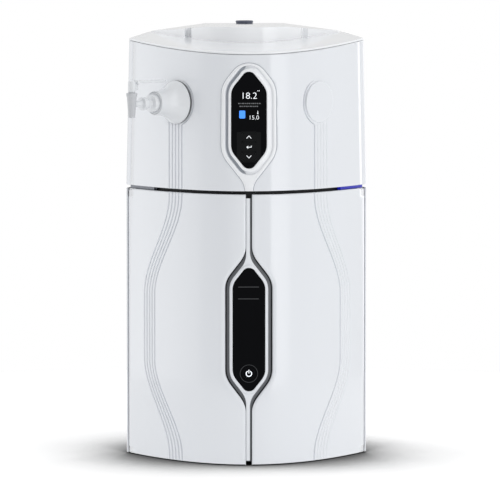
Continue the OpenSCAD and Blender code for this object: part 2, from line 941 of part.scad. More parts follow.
// The top cover: a sloped lip in front and a crowned hump behind it.
hump_k = 150;
wing_x = 151;
wing_d = 229;
wing_step = 9;
roof_x = 62;
roof_slope = 6.3;
hump_t = 3;
function hump_front(grow) = [
    for (i = [-10:10]) let (x = i * hump_x / 10)
    [x * (1 - grow / hump_x), nose_y + hump_d + grow + x * x / hump_k],
];
function hump_plan(grow) = let (
    edge = hump_front(grow),
    last = edge[len(edge) - 1],
    wing = [[last[0], last[1] + wing_step], [wing_x, nose_y + wing_d + wing_step + grow],
        [half_w, nose_y + wing_d + wing_step + 6 + grow], [half_w, back_y + 40]]
) concat(edge, wing, flipped(wing));
module hump_solid(inset) {
    top = rim_z + hump_h - inset;
    intersection() {
        drafted(inset);
        translate([0, 0, upper_z0])
            linear_extrude(height = top - upper_z0)
                polygon(hump_plan(inset));
        along_y([
            [-half_w - 9, 0], [half_w + 9, 0],
            [half_w + 9, top - (half_w + 9 - roof_x) * tan(roof_slope)],
            [roof_x, top], [-roof_x, top],
            [-half_w - 9, top - (half_w + 9 - roof_x) * tan(roof_slope)],
        ], nose_y, back_y + 9);
    }
}
module top_cover() {
    color("white")
        difference() {
            union() {
                difference() {
                    cut_top(0)
                        drafted(0);
                    under_top(cover_t);
                }
                difference() {
                    hump_solid(0);
                    under_top(cover_t);
                }
            }
            difference() {
                hump_solid(hump_t);
                under_top(cover_t + 40);
            }
        }
}
vent_r = 14;
vent_d = 316;
vent_t = 4.5;
module vent_filter() {
    z = rim_z + hump_h;
    color([0.12, 0.17, 0.28])
        rod(vent_r, vent_t, [0, nose_y + vent_d, z]);
}

// ---- Upper module: reservoir ----

tank_x = 148;
tank_in = 18;
tank_t = 3;
tank_z = floor_top;
tank_h = upper_h - 46;
function tank_plan() = let (
    s = upper_scale(tank_z + tank_h),
    x0 = tank_x,
    step = (front_x - x0) / 3,
    inner = shrunk(core_plan, tank_in),
    half = concat([for (i = [0:2]) skin(x0 + step * i, tank_in)],
        [for (i = [core_steps:len(core_half) - 1]) inner[i]])
) [for (p = concat(half, [for (i = [len(half) - 1:-1:0]) [-half[i][0], half[i][1]]])) p * s];
tank_front = tank_plan()[0][1];
module tank_block(inset, z, h) {
    translate([0, 0, z])
        linear_extrude(height = h)
            polygon(shrunk(tank_plan(), inset));
}
module reservoir() {
    color("lightblue")
        difference() {
            tank_block(0, tank_z, tank_h);
            tank_block(tank_t, tank_z + tank_t, tank_h);
        }
}
module reservoir_lid() {
    color("white")
        tank_block(0, tank_z + tank_h, tank_t);
}

// ---- Upper module: display ----

display_mid = upper_z0 + display_z;
lens_d = 1.2;
lens_t = 2.5;
bezel_gap = 0.5;
function bezel_outline() = let (
    top = shrunk(lozenge(display_w, display_h), -bezel_edge),
    s = stemmed(display_w, display_h, bezel_edge, bezel_stem, 0, display_z - 0.5)
) soften(concat([s[0], s[1]], [top[2], top[3]], [for (i = [6:11]) s[i]]), 12, 8);
module bezel_ring(grow0, grow1) {
    difference() {
        along_y(glass(display_w, display_h, grow1), nose_y - 10, nose_y + 30, display_mid);
        along_y(glass(display_w, display_h, grow0), nose_y - 11, nose_y + 31, display_mid);
    }
}
module display_bezel() {
    mid = (bezel_edge - bezel_groove) / 2;
    color("whitesmoke")
        on_face()
            difference() {
                union() {
                    intersection() {
                        along_y(bezel_outline(), nose_y - 10, nose_y + 30, display_mid);
                        curved(-half_w / 2, half_w / 2, -bezel_h, -bezel_gap,
                            upper_z0 + 0.5, rim_z + 40);
                    }
                    along_y(glass(display_w, display_h, 0.5),
                        nose_y + lens_d, nose_y + lens_d + lens_t + 3, display_mid);
                }
                intersection() {
                    bezel_ring(mid, mid + bezel_groove);
                    curved(-half_w / 2, half_w / 2, -9, -bezel_h + 1.2, upper_z0, rim_z + 40);
                }
                along_y(glass(display_w, display_h, -2.5),
                    nose_y - 10, nose_y + 30, display_mid);
                along_y(glass(display_w, display_h, clear),
                    nose_y - 10, nose_y + lens_d + lens_t, display_mid);
            }
}
key_z = display_mid - 41;
module key_cut(z, grow, y0, y1) {
    translate([0, y1, z])
        rotate([90, 0, 0])
            linear_extrude(height = y1 - y0)
                polygon(soften([
                    [key_w / 2 + grow, -key_h / 2 - grow], [key_w / 2 + grow, key_h / 2 + grow],
                    [-key_w / 2 - grow, key_h / 2 + grow], [-key_w / 2 - grow, -key_h / 2 - grow],
                ], 3, 4));
}
module display_lens() {
    color([0.02, 0.02, 0.025])
        on_face()
            difference() {
                along_y(glass(display_w, display_h, 0), nose_y + lens_d,
                    nose_y + lens_d + lens_t, display_mid);
                for (i = [-1:1])
                    key_cut(key_z + i * key_pitch, key_gap, nose_y - 2, nose_y + 20);
            }
}
module key(i) {
    color([0.05, 0.05, 0.06])
        on_face() {
            key_cut(key_z + i * key_pitch, 0, nose_y + lens_d, nose_y + lens_d + lens_t + 1);
            rod_y(4, nose_y + lens_d + lens_t + 1, 3, key_z + i * key_pitch);
        }
}
module key_up() {
    key(1);
}
module key_enter() {
    key(0);
}
module key_down() {
    key(-1);
}
module display_module() {
    screen_y = nose_y + lens_d + lens_t + clear;
    y0 = screen_y + 4 + key_travel;
    side = side_of(display_w, display_h);
    color("darkgreen")
        on_face() {
            block(display_w - 12, board_t, 2 * side + 8,
                [0, y0 + board_t / 2, display_mid - side - 4]);
            block(display_w - 14, y0 - screen_y + eps, side - 2,
                [0, (y0 + screen_y + eps) / 2, display_mid + 1]);
        }
}

// ---- Tap and blank cap ----

module tap_frame() {
    on_skin(-tap_x, upper_z0 + tap_z)
        children();
}
seat_u = 0.9;
nut_t = 8;
function bell(u0, r0, u1, r1) =
    [for (i = [0:12]) let (t = i / 12) [r0 + (r1 - r0) * (1 - pow(1 - t, 2.2)), u0 + (u1 - u0) * t]];
module tap_flange() {
    color("white")
        tap_frame()
            rotate_extrude($fn = 96)
                polygon(concat(
                    [[shank_r + clear, seat_u], [flange_r - 1, seat_u], [flange_r, seat_u + 1]],
                    bell(seat_u + 2.5, flange_r, collar_u, collar_r),
                    [[collar_r - 1, collar_u + 1.5], [shank_r + clear, collar_u + 1.5]]
                ));
}
disc_l = 8;
knob_r = 10;
neck = 5;
core_r = 4.2;
cap_r = 5.8;
cap_l = 17.4;
spout_top = spout_l / 2 - 2;
cap_top = spout_top + clear + cap_l;
pivot_r = 1.5;
cheek_r = 3.2;
ear_w = 4.4;
pivot_u = spout_u - cap_r - cheek_r - 0.6;
pivot_y = cap_top - 1.4;
seat_in = wall_t + nut_t + 3;
module upright(r, h, y, fn = 48) {
    translate([0, y, spout_u])
        rotate([-90, 0, 0])
            cylinder(r = r, h = h, $fn = fn);
}
module cross_rod(r, w) {
    translate([-w / 2, pivot_y, pivot_u])
        rotate([0, 90, 0])
            cylinder(r = r, h = w, $fn = 32);
}
module along_tap(r, u0, u1, fn = 64) {
    translate([0, 0, u0])
        cylinder(r = r, h = u1 - u0, $fn = fn);
}
module tap_body() {
    color("white")
        tap_frame()
            difference() {
                union() {
                    along_tap(shank_r, -seat_in, collar_u + 2);
                    along_tap(shank_r + 6, -seat_in + 1, -wall_t - 2, 6);
                    along_tap(collar_r - 5, collar_u + 1.5 + eps, collar_u + 1.5 + disc_l);
                    along_tap(neck + 2, collar_u, spout_u - 22);
                    along_tap(knob_r, spout_u - 28, spout_u - 20);
                    along_tap(neck, spout_u - 24, spout_u);
                    upright(core_r, cap_top - 5 + spout_l / 2 - 2, -spout_l / 2 + 2);
                    upright(cap_r, cap_l, spout_top + clear);
                    cross_rod(cheek_r, ear_w);
                    translate([-ear_w / 2, cap_top - cap_l + 3, pivot_u - cheek_r])
                        cube([ear_w, pivot_y - cap_top + cap_l - 3, spout_u - pivot_u]);
                }
                along_tap(2.5, -seat_in - 1, spout_u, 32);
                upright(2 + pin_fit, cap_top - 1.5 + spout_l / 2, -spout_l / 2, 32);
                cross_rod(pivot_r + pin_fit, ear_w + 1);
            }
}
module tap_spout() {
    color("gray")
        tap_frame()
            difference() {
                translate([0, spout_top, spout_u])
                    rotate([90, 0, 0])
                        cylinder(r1 = spout_r, r2 = mouth_r, h = spout_l, $fn = 64);
                upright(core_r + 0.1, spout_l + 2, spout_top - spout_l - 1);
                along_tap(neck + 0.2, spout_u - spout_r - 1, spout_u);
            }
}
lever_t = 4;
module tap_lever() {
    color("white")
        tap_frame() {
            difference() {
                union() {
                    cross_rod(cheek_r, lever_w);
                    translate([-lever_w / 2, pivot_y - lever_t / 2 + 0.4, pivot_u - lever_l])
                        cube([lever_w, lever_t, lever_l]);
                }
                translate([-ear_w / 2 - 0.4, pivot_y - 9, pivot_u - cheek_r - 1.5])
                    cube([ear_w + 0.8, 18, 2 * cheek_r + 4]);
            }
            cross_rod(pivot_r, lever_w - 1);
        }
}
module tap_plunger() {
    color("dimgray")
        tap_frame()
            upright(2, cap_top - 1.5 - plunger_lift - clear + spout_l / 2 - 4,
                -spout_l / 2 + 4, 32);
}
module blank_cap() {
    color("white")
        on_skin(tap_x, upper_z0 + tap_z) {
            translate([0, 0, seat_u])
                cylinder(r1 = blank_r, r2 = blank_r - 1, h = 2.5, $fn = 96);
            translate([0, 0, -wall_t - 4])
                cylinder(r = shank_r, h = wall_t + 4 + seat_u + eps, $fn = 64);
        }
}

// Tubes: tap to reservoir, pump to the dock plate, manifold to the reservoir.
riser_bend = 14;
module inner_tubes() {
    reach = (tank_front - skin(tap_x, 0)[1] * upper_scale(upper_z0 + tap_z)) / cos(slope(tap_x));
    color("white") {
        tap_frame()
            along_tap(tube_r, -reach + tube_r * tan(slope(tap_x)) + clear, -seat_in, 32);
        pump_top = base_top + motor_h + head_h + 1;
        rod(tube_r, dock_z - pump_top, [-motor_x, rear_y, pump_top], 32);
        y0 = manifold_y + manifold_d / 2;
        z0 = manifold_z + manifold_h / 2;
        rod_y(tube_r, y0, riser_y - riser_bend - y0, z0, 0, 32);
        translate([0, riser_y - riser_bend, z0 + riser_bend])
            rotate([0, 90, 0])
                rotate_extrude(angle = 90, $fn = 48)
                    translate([riser_bend, 0])
                        circle(r = tube_r, $fn = 32);
        rod(tube_r, tank_z - z0 - riser_bend, [0, riser_y, z0 + riser_bend], 32);
    }
}

feet();
base_plate();
rear_shell();
deck_plate();
seam_frame();
seam_light_left();
seam_light_right();
spine();
centre_trim();
power_panel();
power_button();
power_board();
left_door();
right_door();
left_strike();
right_strike();
hinge_pins();
door_catches();
drip_tray();
dock_plate();
left_dock();
right_dock();
left_pack();
right_pack();
ro_module();
uv_reactor();
uv_lamp();
ultrafilter();
pump_motor();
pump_head();
pump_rotor();
power_supply();
manifold();
inlet_valve();
conductivity_cell();
main_board();
service_panel();
tube_ports();
power_inlet();
panel_screws();
upper_floor();
upper_shell();
upper_rear_cover();
top_cover();
vent_filter();
reservoir();
reservoir_lid();
display_bezel();
display_lens();
display_module();
key_up();
key_enter();
key_down();
tap_flange();
tap_body();
tap_spout();
tap_lever();
tap_plunger();
blank_cap();
inner_tubes();
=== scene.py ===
from math import atan, atan2, cos, hypot, pi, radians, sin, tan

import bmesh
import bpy
from mathutils import Matrix, Vector


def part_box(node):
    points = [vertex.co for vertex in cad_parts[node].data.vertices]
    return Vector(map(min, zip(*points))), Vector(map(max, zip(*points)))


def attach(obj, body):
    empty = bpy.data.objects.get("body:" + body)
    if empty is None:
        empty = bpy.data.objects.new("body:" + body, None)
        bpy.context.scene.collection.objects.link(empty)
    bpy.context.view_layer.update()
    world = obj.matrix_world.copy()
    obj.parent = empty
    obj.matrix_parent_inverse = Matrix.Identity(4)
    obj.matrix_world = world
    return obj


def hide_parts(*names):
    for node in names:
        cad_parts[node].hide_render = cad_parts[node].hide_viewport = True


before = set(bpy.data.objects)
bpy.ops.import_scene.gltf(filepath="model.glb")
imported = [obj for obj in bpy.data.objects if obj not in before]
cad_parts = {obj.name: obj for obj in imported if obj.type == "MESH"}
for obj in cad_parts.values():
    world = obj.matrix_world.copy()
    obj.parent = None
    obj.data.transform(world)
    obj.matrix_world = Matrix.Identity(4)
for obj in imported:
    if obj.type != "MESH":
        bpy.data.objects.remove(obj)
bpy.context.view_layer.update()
mm = 0.001

# ---- Studio ----
# A long-lens view from the front, a little to the left and above the middle.
# A pale floor carries a painted shadow, and a dome carries bright and dim panels
# where a product studio has its softboxes and flags.

eye = Vector((-172, -7670, 914)) * mm
aim = Vector((1.6, -170, 332.9)) * mm
lens = bpy.data.cameras.new("camera")
lens.lens = 353.3
lens.sensor_width = 36
lens.clip_end = 40
camera = bpy.data.objects.new("camera", lens)
camera.location = eye
camera.rotation_euler = (aim - eye).to_track_quat("-Z", "Y").to_euler()
bpy.context.collection.objects.link(camera)
bpy.context.scene.camera = camera
bpy.context.scene.view_settings.view_transform = "Standard"


class Link:
    """A shader socket that can stand in a sum or a product."""

    def __init__(self, graph, socket):
        self.graph, self.socket = graph, socket

    def _maths(self, operation, first, second):
        return self.graph.node("Math", {"operation": operation}, {0: first, 1: second})

    def __add__(self, other):
        return self._maths("ADD", self, other)

    def __sub__(self, other):
        return self._maths("SUBTRACT", self, other)

    def __rsub__(self, other):
        return self._maths("SUBTRACT", other, self)

    def __mul__(self, other):
        return self._maths("MULTIPLY", self, other)

    def __truediv__(self, other):
        return self._maths("DIVIDE", self, other)

    __radd__, __rmul__ = __add__, __mul__


class Graph:
    """Adds nodes to one node tree and joins them."""

    def __init__(self, tree):
        self.tree = tree

    def node(self, kind, settings=(), inputs=(), output=0):
        made = self.tree.nodes.new("ShaderNode" + kind)
        for name, value in dict(settings).items():
            if name == "stops":
                ramp = made.color_ramp.elements
                for place, shade in value[1:-1]:
                    ramp.new(place)
                for element, (place, shade) in zip(ramp, value):
                    element.position, element.color = place, shade
            else:
                setattr(made, name, value)
        for name, value in dict(inputs).items():
            self.feed(made.inputs[name], value)
        return Link(self, made.outputs[output])

    def end(self, kind, surface):
        self.feed(self.tree.nodes.new("ShaderNodeOutput" + kind).inputs["Surface"], surface)

    def feed(self, socket, value):
        if isinstance(value, Link):
            self.tree.links.new(value.socket, socket)
        else:
            socket.default_value = value


def grey(level):
    return (level, level, level, 1)


# Brightness of the dome by azimuth in degrees, 0 at the camera and + to the right.
dome_top = 2.5
dome_panels = [
    (-180, 0.76), (-128, 0.88), (-118, 1.35), (-92, 1.30), (-76, 1.12), (-66, 0.70),
    (-40, 0.42), (-22, 0.70), (-8, 0.86), (14, 0.86), (24, 0.62), (37.2, 0.62),
    (38.6, 2.05), (60, 1.60), (68, 0.92), (100, 0.86), (126, 0.76), (132, 1.60),
    (146, 1.60), (152, 0.76), (180, 0.76),
]
world = bpy.data.worlds.new("dome")
world.use_nodes = True
world.node_tree.nodes.clear()
bpy.context.scene.world = world
dome = Graph(world.node_tree)
direction = dome.node("TexCoord")
east, north = (dome.node("SeparateXYZ", inputs={0: direction}, output=axis) for axis in "XY")
turn = dome.node("Math", {"operation": "ARCTAN2"}, {0: east, 1: 0.0 - north})
panels = dome.node("ValToRGB", {"stops": [
    (angle / 360 + 0.5, grey(level / dome_top)) for angle, level in dome_panels]},
    {0: turn / (2 * pi) + 0.5})
studio_light = dome.node("Background", inputs={"Color": panels, "Strength": dome_top})
white_wall = dome.node("Background", inputs={"Color": grey(1), "Strength": 1.0})
seen = dome.node("LightPath", output="Is Camera Ray")
backdrop = dome.node("MixShader", inputs={0: seen, 1: studio_light, 2: white_wall})
dome.end("World", backdrop)

floor_r = 1300 * mm
bm = bmesh.new()
bmesh.ops.create_circle(bm, cap_ends=True, segments=96, radius=floor_r)
floor_mesh = bpy.data.meshes.new("floor")
bm.to_mesh(floor_mesh)
bm.free()
floor = bpy.data.objects.new("floor", floor_mesh)
bpy.context.collection.objects.link(floor)
floor_finish = bpy.data.materials.new("pale_floor")
floor_finish.use_nodes = True
floor_finish.node_tree.nodes.clear()
graph = Graph(floor_finish.node_tree)
# Painted shadow: near the object, the floor's colour and glow are darkened by how little sky it
# sees.
painted_shadow_reach = 450 * mm
painted_shadow_ramp = [(0, 0), (0.58, 0.13), (0.635, 0.257), (0.68, 0.335), (0.72, 0.45),
               (0.765, 0.64), (0.79, 0.735), (0.83, 0.83), (0.9, 0.935), (1, 1)]
openness = graph.node("AmbientOcclusion", {"samples": 16}, {"Distance": painted_shadow_reach}, "AO")
shade = graph.node("ValToRGB", {"stops": [
    (place, grey(level)) for place, level in painted_shadow_ramp]}, {0: openness})
# Rays that light the object meet a plain pale floor. The camera sees a painted shadow.
bounce = [graph.node("AddShader", inputs={
    0: graph.node("BsdfDiffuse", inputs={"Color": paint}),
    1: graph.node("Emission", inputs={"Color": light, "Strength": glow})})
    for paint, light, glow in ((grey(0.62), grey(1), 0.42), (shade, shade, 0.25))]
seen = graph.node("LightPath", output="Is Camera Ray")
graph.end("Material", graph.node("MixShader", inputs={0: seen, 1: bounce[0], 2: bounce[1]}))
floor_mesh.materials.append(floor_finish)


# ---- Cabinet doors ----
# Two doors of gloss white moulded sheet follow the cabinet's plan, a parabola
# in front with tight round corners. They part round the pod, carry five
# grooves each, and roll round their hinge pins.

half_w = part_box("rear_shell")[1][0]
corner_d = 170 * mm
nose_y = -170 * mm
back_y = 170 * mm
curve_k = half_w ** 2 / corner_d
corner_r = 10 * mm
side_len = 80 * mm
side_turn = radians(22)
back_half = 64 * mm


def slope(x):
    return atan(2 * x / curve_k)


def skin(x, inset=0):
    a = slope(x)
    return Vector((x - inset * sin(a), nose_y + x * x / curve_k + inset * cos(a)))


front_x = half_w - corner_r * (1 - sin(slope(half_w)))
corner_turn = pi / 2 + side_turn - slope(front_x)
corner_mid = skin(front_x, corner_r)
side_start = corner_mid + corner_r * Vector((cos(side_turn), sin(side_turn)))
side_end = side_start + side_len * Vector((-sin(side_turn), cos(side_turn)))
slanted = Vector((back_half, back_y)) - side_end
slanted_turn = atan2(slanted.y, slanted.x) - pi / 2 - side_turn
back_turn = pi / 2 - side_turn - slanted_turn
side_cut, back_cut = 16 * mm, 12 * mm


def arc(turn, cut):
    """Length and turn of the round corner that starts cut before a sharp one."""
    return (cut / tan(turn / 2) * turn, turn)


rear_run = [
    (corner_r * corner_turn, corner_turn),
    (side_len - side_cut, 0),
    arc(slanted_turn, side_cut),
    (slanted.length - side_cut - back_cut, 0),
    arc(back_turn, back_cut),
    (back_half - back_cut, 0),
]
rear_stops = [front_x + sum(length for length, turn in rear_run[:i + 1])
              for i in range(len(rear_run))]
back_mid = rear_stops[-1]


def wall(run, inset=0):
    """Plan point at a run from the nose, which is X on the parabola."""
    side, left = (-1, -run) if run < 0 else (1, run)
    if left <= front_x:
        p = skin(left, inset)
        return Vector((side * p.x, p.y))
    p, heading, left = skin(front_x), slope(front_x), left - front_x
    for length, turn in rear_run:
        step = min(left, length)
        angle = turn * step / length
        if angle:
            r = length / turn
            ahead = heading + angle
            p += r * Vector((sin(ahead) - sin(heading), cos(heading) - cos(ahead)))
        else:
            p += step * Vector((cos(heading), sin(heading)))
        heading += angle
        left -= step
        if left <= 0:
            break
    p += inset * Vector((-sin(heading), cos(heading)))
    return Vector((side * p.x, p.y))


def ease(low, high, value):
    """0 below low, 1 above high, with a smooth ramp between them."""
    t = min(max((value - low) / (high - low), 0), 1)
    return t * t * (3 - 2 * t)


def soft(value, corner):
    """0 below zero and value above it, with the corner rounded."""
    if abs(value) < corner:
        return (value + corner) ** 2 / (4 * corner)
    return max(value, 0)


def spread(low, high, count):
    return [low + (high - low) * i / count for i in range(count + 1)]


def rim(r, lip, run=None):
    """Offsets and depths of a rounded edge, run wide and r deep, with a lip behind it."""
    return [(0, lip)] + [
        ((run or r) * (1 - cos(a)), r * (1 - sin(a))) for a in spread(0, pi / 2, 6)]


def panel(columns, rows, place):
    """A grid whose columns at each height, and whose rows, give runs, heights and depths."""
    bm = bmesh.new()
    lines = [columns(z) for z, depth in rows]
    across, up = len(lines[0]) - 1, len(rows) - 1
    bmesh.ops.create_grid(bm, x_segments=across, y_segments=up, size=1)
    for v in bm.verts:
        i = round((v.co.x + 1) / 2 * across)
        j = round((v.co.y + 1) / 2 * up)
        z, row_depth = rows[j]
        run, depth = lines[j][i]
        x, y = place(run, max(depth, row_depth), z)
        v.co = (x, y, z)
    return bm


def finish_piece(name, bm, material, node=None, body="cabinet", wall_t=0,
                 keep_sharp=40):
    """Makes the mesh a piece that rides on its body and stands for its node, which it hides."""
    mesh = bpy.data.meshes.new(name)
    for face in bm.faces:
        face.smooth = True
    bm.to_mesh(mesh)
    bm.free()
    mesh.set_sharp_from_angle(angle=radians(keep_sharp))
    piece = bpy.data.objects.new(name, mesh)
    bpy.context.collection.objects.link(piece)
    mesh.materials.append(material)
    if wall_t:
        thick = piece.modifiers.new("wall", "SOLIDIFY")
        thick.thickness = wall_t
        thick.offset = -1
    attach(piece, body)
    if node:
        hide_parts(node)


def finish_material(name, colour, roughness, coat=0.0, metallic=0.0, grain=900, bump=0.02,
                    mottle=0.0, stretch=(1, 1, 1), **constants):
    """A moulded, cast or brushed finish: grain in the bump and faint patches in the gloss."""
    made = bpy.data.materials.new(name)
    made.use_nodes = True
    graph = Graph(made.node_tree)
    place = graph.node("TexCoord", output="Object")
    patches = graph.node("TexNoise", inputs={"Vector": place, "Scale": 14, "Detail": 4})
    drawn = graph.node("Mapping", inputs={"Vector": place, "Scale": stretch})
    grains = graph.node("TexNoise", inputs={"Vector": drawn, "Scale": grain, "Detail": 2})
    relief = graph.node("Bump", inputs={"Strength": bump, "Distance": 0.2 * mm, "Height": grains})
    paint = (*colour, 1)
    if mottle:
        darker = (*(c * (1 - mottle) for c in colour), 1)
        paint = graph.node("Mix", {"data_type": "RGBA"}, {0: patches, 6: paint, 7: darker}, 2)
    sockets = {"Base Color": paint, "Roughness": patches * (roughness * 0.4) + roughness * 0.8,
               "Normal": relief, "Metallic": metallic, "Coat Weight": coat}
    sockets |= {socket.replace("_", " "): value for socket, value in constants.items()}
    for socket, value in sockets.items():
        graph.feed(made.node_tree.nodes["Principled BSDF"].inputs[socket], value)
    return made


gloss_white = finish_material(
    "gloss_white", (0.775, 0.80, 0.84), 0.16, coat=1.0, mottle=0.015, Coat_Roughness=0.03)

pod_z = 210 * mm
pod_w = 50 * mm
pod_h = 190 * mm
tip_w = 11 * mm
slant = 0.8
rim_w = 5.2 * mm
groove_w = 7.2 * mm
stem_gap = 9.6 * mm
edge_soft = 12 * mm


def lozenge_edge(z, half, start, stem):
    """Half width at height z of an outline that is half wide and narrows to its stem."""
    up = abs(z)
    end = start + (half - stem) / slant
    return half - slant * (soft(up - start, edge_soft) - soft(up - end, edge_soft))


def slant_start(w, h, grow):
    """Height at which the side of a glass outline, grown all round, meets its slant."""
    side = h / 2 - (w - tip_w) / 2 / slant
    return side + grow * (hypot(1, 1 / slant) - 1 / slant)


door_bottom, door_top = (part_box("right_door")[i][2] for i in (0, 1))
door_t = 4.5 * mm
door_r = 3.2 * mm
lip_run = 6 * mm
bead_r = 5.5 * mm
hinge_x = front_x - (bead_r + 0.8 * mm) * cos(slope(front_x))
hinge_mid = skin(hinge_x, bead_r)
bead_turn = radians(150)
bead_gap = 0.3 * mm
bead_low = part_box("base_plate")[1][2] + bead_gap
bead_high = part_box("deck_plate")[0][2] - bead_gap
line_x = 102.5 * mm
line_bulge = 42 * mm
line_pitch = 4.8 * mm
line_squeeze = 0.9 * mm
line_w = 0.9 * mm
# Depth of the groove nearest the stem, and of the four beside it.
groove_depths = {"left": (3.3 * mm, 3.1 * mm), "right": (3.3 * mm, 0.8 * mm)}
line_count = 5
# Spots across a groove in groove widths, each with its share of the depth.
line_form = [(-1.2, 0), (-0.95, 0.12), (-0.6, 0.9), (-0.4, 1), (0.4, 1), (0.6, 0.9),
             (0.95, 0.12), (1.2, 0)]


def bulge(z):
    """How far the grooves have swung out at height z, from 0 to 1."""
    return ease(10 * mm, 155 * mm, z) * (1 - ease(256 * mm, 412 * mm, z))


def plain(low, high, count):
    """Columns without relief that go on from one at low."""
    return [(run, 0) for run in spread(low, high, count)[1:]]


def door_columns(z, first_depth, line_depth):
    grow = rim_w + groove_w
    half = pod_w / 2 + grow
    start = slant_start(pod_w, pod_h, grow)
    edge = lozenge_edge(z - pod_z, half, start, stem_gap / 2)
    stretch = hypot(1, (lozenge_edge(z - pod_z + mm, half, start, stem_gap / 2) - edge) / mm)
    first = line_x + line_bulge * bulge(z)
    pitch = line_pitch - line_squeeze * bulge(z)
    grooves = [(first + k * pitch + t * line_w, (line_depth if k else first_depth) * d)
               for k in range(line_count) for t, d in line_form]
    return (
        [(edge + offset * stretch, depth) for offset, depth in rim(door_r, door_t, lip_run)]
        + plain(edge + lip_run * stretch, first - 2 * line_w, 14)
        + grooves
        + plain(grooves[-1][0], hinge_x, 8)
        + plain(hinge_x, hinge_x + bead_r * bead_turn, 8))


def edge_rows(low, high, r, lip, inner):
    """Rows of a panel with a rounded edge at the bottom and the top."""
    foot = [(low + offset, depth) for offset, depth in rim(r, lip)]
    head = [(high - offset, depth) for offset, depth in reversed(rim(r, lip))]
    return foot + [(z, 0) for z in inner if low + r < z < high - r] + head


def door_place(run, depth, z):
    if run <= hinge_x:
        return wall(run, depth)
    heading = slope(hinge_x) + (run - hinge_x) / bead_r
    return hinge_mid + (bead_r - depth) * Vector((sin(heading), -cos(heading)))


door_rows = edge_rows(door_bottom, door_top, door_r, door_t,
                      sorted([bead_low, bead_high] + spread(door_bottom, door_top, 110)))
sheet_t = 1.2 * mm
for side in ("left", "right"):
    bm = panel(lambda z: door_columns(z, *groove_depths[side]), door_rows, door_place)
    # The rolled edge stops short of the base and deck plates that hold its pins.
    rolled = [f for f in bm.faces
              if min(v.co.y for v in f.verts) > wall(hinge_x).y - 0.05 * mm
              and not bead_low < f.calc_center_median().z < bead_high]
    bmesh.ops.delete(bm, geom=rolled, context="FACES")
    if side == "left":
        bmesh.ops.scale(bm, vec=(-1, 1, 1), verts=bm.verts)
        bmesh.ops.reverse_faces(bm, faces=bm.faces)
    finish_piece(side + "_door_skin", bm, gloss_white, side + "_door", body=side + "_door",
                 wall_t=sheet_t)

# ---- Upper casing ----
# The process module's front cover: the same plan, drawn in a little towards
# the top and cut off at a slope, with the ends of the five grooves below the
# tap and the blank cap, and one groove that runs round each of them.

upper_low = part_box("upper_shell")[0][2]
upper_h = 212 * mm
rim_z = upper_low + upper_h
top_share = 0.976
taper = (1 - top_share) / upper_h
top_slope = radians(5.7)
cover_t = 3 * mm
cover_gap = 0.6 * mm
split_y = 24 * mm
upper_t = 3 * mm
upper_r = 1.2 * mm
tap_x = 112 * mm
tap_z = upper_low + 134 * mm
ring_r = 36 * mm
ring_lean = slope(tap_x) * 0.94
part_x = 181.5 * mm
part_w = 0.36 * mm
part_d = 0.3 * mm


def upper_scale(z):
    return 1 - taper * (z - upper_low)


def upper_place(run, depth, z):
    return wall(run, depth) * upper_scale(z)


split_run = rear_stops[0] + (split_y - side_start.y) / cos(side_turn)


def upper_line(z):
    """Run of the innermost groove, which leaves the vertical to pass round the tap."""
    straight = line_x / upper_scale(z)
    up = abs(z - tap_z)
    if up >= ring_r:
        return straight
    reach = (ring_r ** 2 - up ** 2) ** 0.5 * cos(ring_lean)
    return straight - soft(straight - (tap_x - reach), 1.5 * mm)


def upper_half(z, first_depth, line_depth):
    below_tap = 1 - ease(-34 * mm, -24 * mm, z - tap_z)
    beside_tap = 1 - ease(26 * mm, 34 * mm, z - tap_z)
    first = upper_line(z)
    straight = line_x / upper_scale(z)
    made = [(0, 0)] + plain(0, first - 2 * line_w, 22)
    for k in range(line_count):
        mid = straight + k * line_pitch if k else first
        deep = line_depth * below_tap if k else first_depth * beside_tap
        made += [(mid + t * line_w, deep * d) for t, d in line_form]
    made += plain(made[-1][0], part_x - line_w, 12)[:-1]
    made += [(part_x + t * part_w, part_d * (1 - t * t)) for t in (-1, -0.5, 0, 0.5, 1)]
    made += plain(part_x + line_w * 0.6, front_x, 2) + plain(front_x, rear_stops[0], 8)
    return made + plain(made[-1][0], split_run, 3)


def upper_columns(z):
    left, right = (upper_half(z, *groove_depths[side]) for side in ("left", "right"))
    return [(-run, depth) for run, depth in reversed(left)] + right[1:]


def under_top(bm, drop):
    """Cuts a casing off below the sloped top."""
    bmesh.ops.bisect_plane(
        bm, geom=bm.verts[:] + bm.edges[:] + bm.faces[:], dist=1e-6, clear_outer=True,
        plane_co=(0, nose_y, rim_z - drop), plane_no=(0, -sin(top_slope), cos(top_slope)))


upper_top = rim_z + (split_y - nose_y + 20 * mm) * tan(top_slope)
upper_rows = [(upper_low + offset, depth) for offset, depth in rim(upper_r, upper_t)]
upper_rows += [(z, 0) for z in spread(upper_low + upper_r, upper_top, 64)[1:]]
display_mid = upper_low + 109 * mm
display_w = 54 * mm
display_h = 148 * mm
bezel_cut = 13 * mm
bezel_cut_top = 12 * mm
no_stem = -60 * mm


def behind_bezel(spot):
    half = lozenge_edge(spot.z - display_mid, display_w / 2 + bezel_cut,
                        slant_start(display_w, display_h, bezel_cut), no_stem)
    return abs(spot.x) < half and spot.z < display_mid + display_h / 2 + bezel_cut_top


def cut_out(bm, inside):
    """Takes away the faces whose middle passes the test."""
    gone = [f for f in bm.faces if inside(f.calc_center_median())]
    bmesh.ops.delete(bm, geom=gone, context="FACES")


bm = panel(upper_columns, upper_rows, upper_place)
under_top(bm, cover_t + cover_gap)
cut_out(bm, behind_bezel)
finish_piece("upper_front_skin", bm, gloss_white, "upper_shell", wall_t=upper_t)

# ---- Rear casing ----
# A wrap-round cover closes the sides and the back of each module. Its front
# edge meets the hinge beads or the front cover in a fine parting line. The
# lower one has a window behind the service panel.

rear_t = 3 * mm
back_rise = (back_y - nose_y) * tan(top_slope)


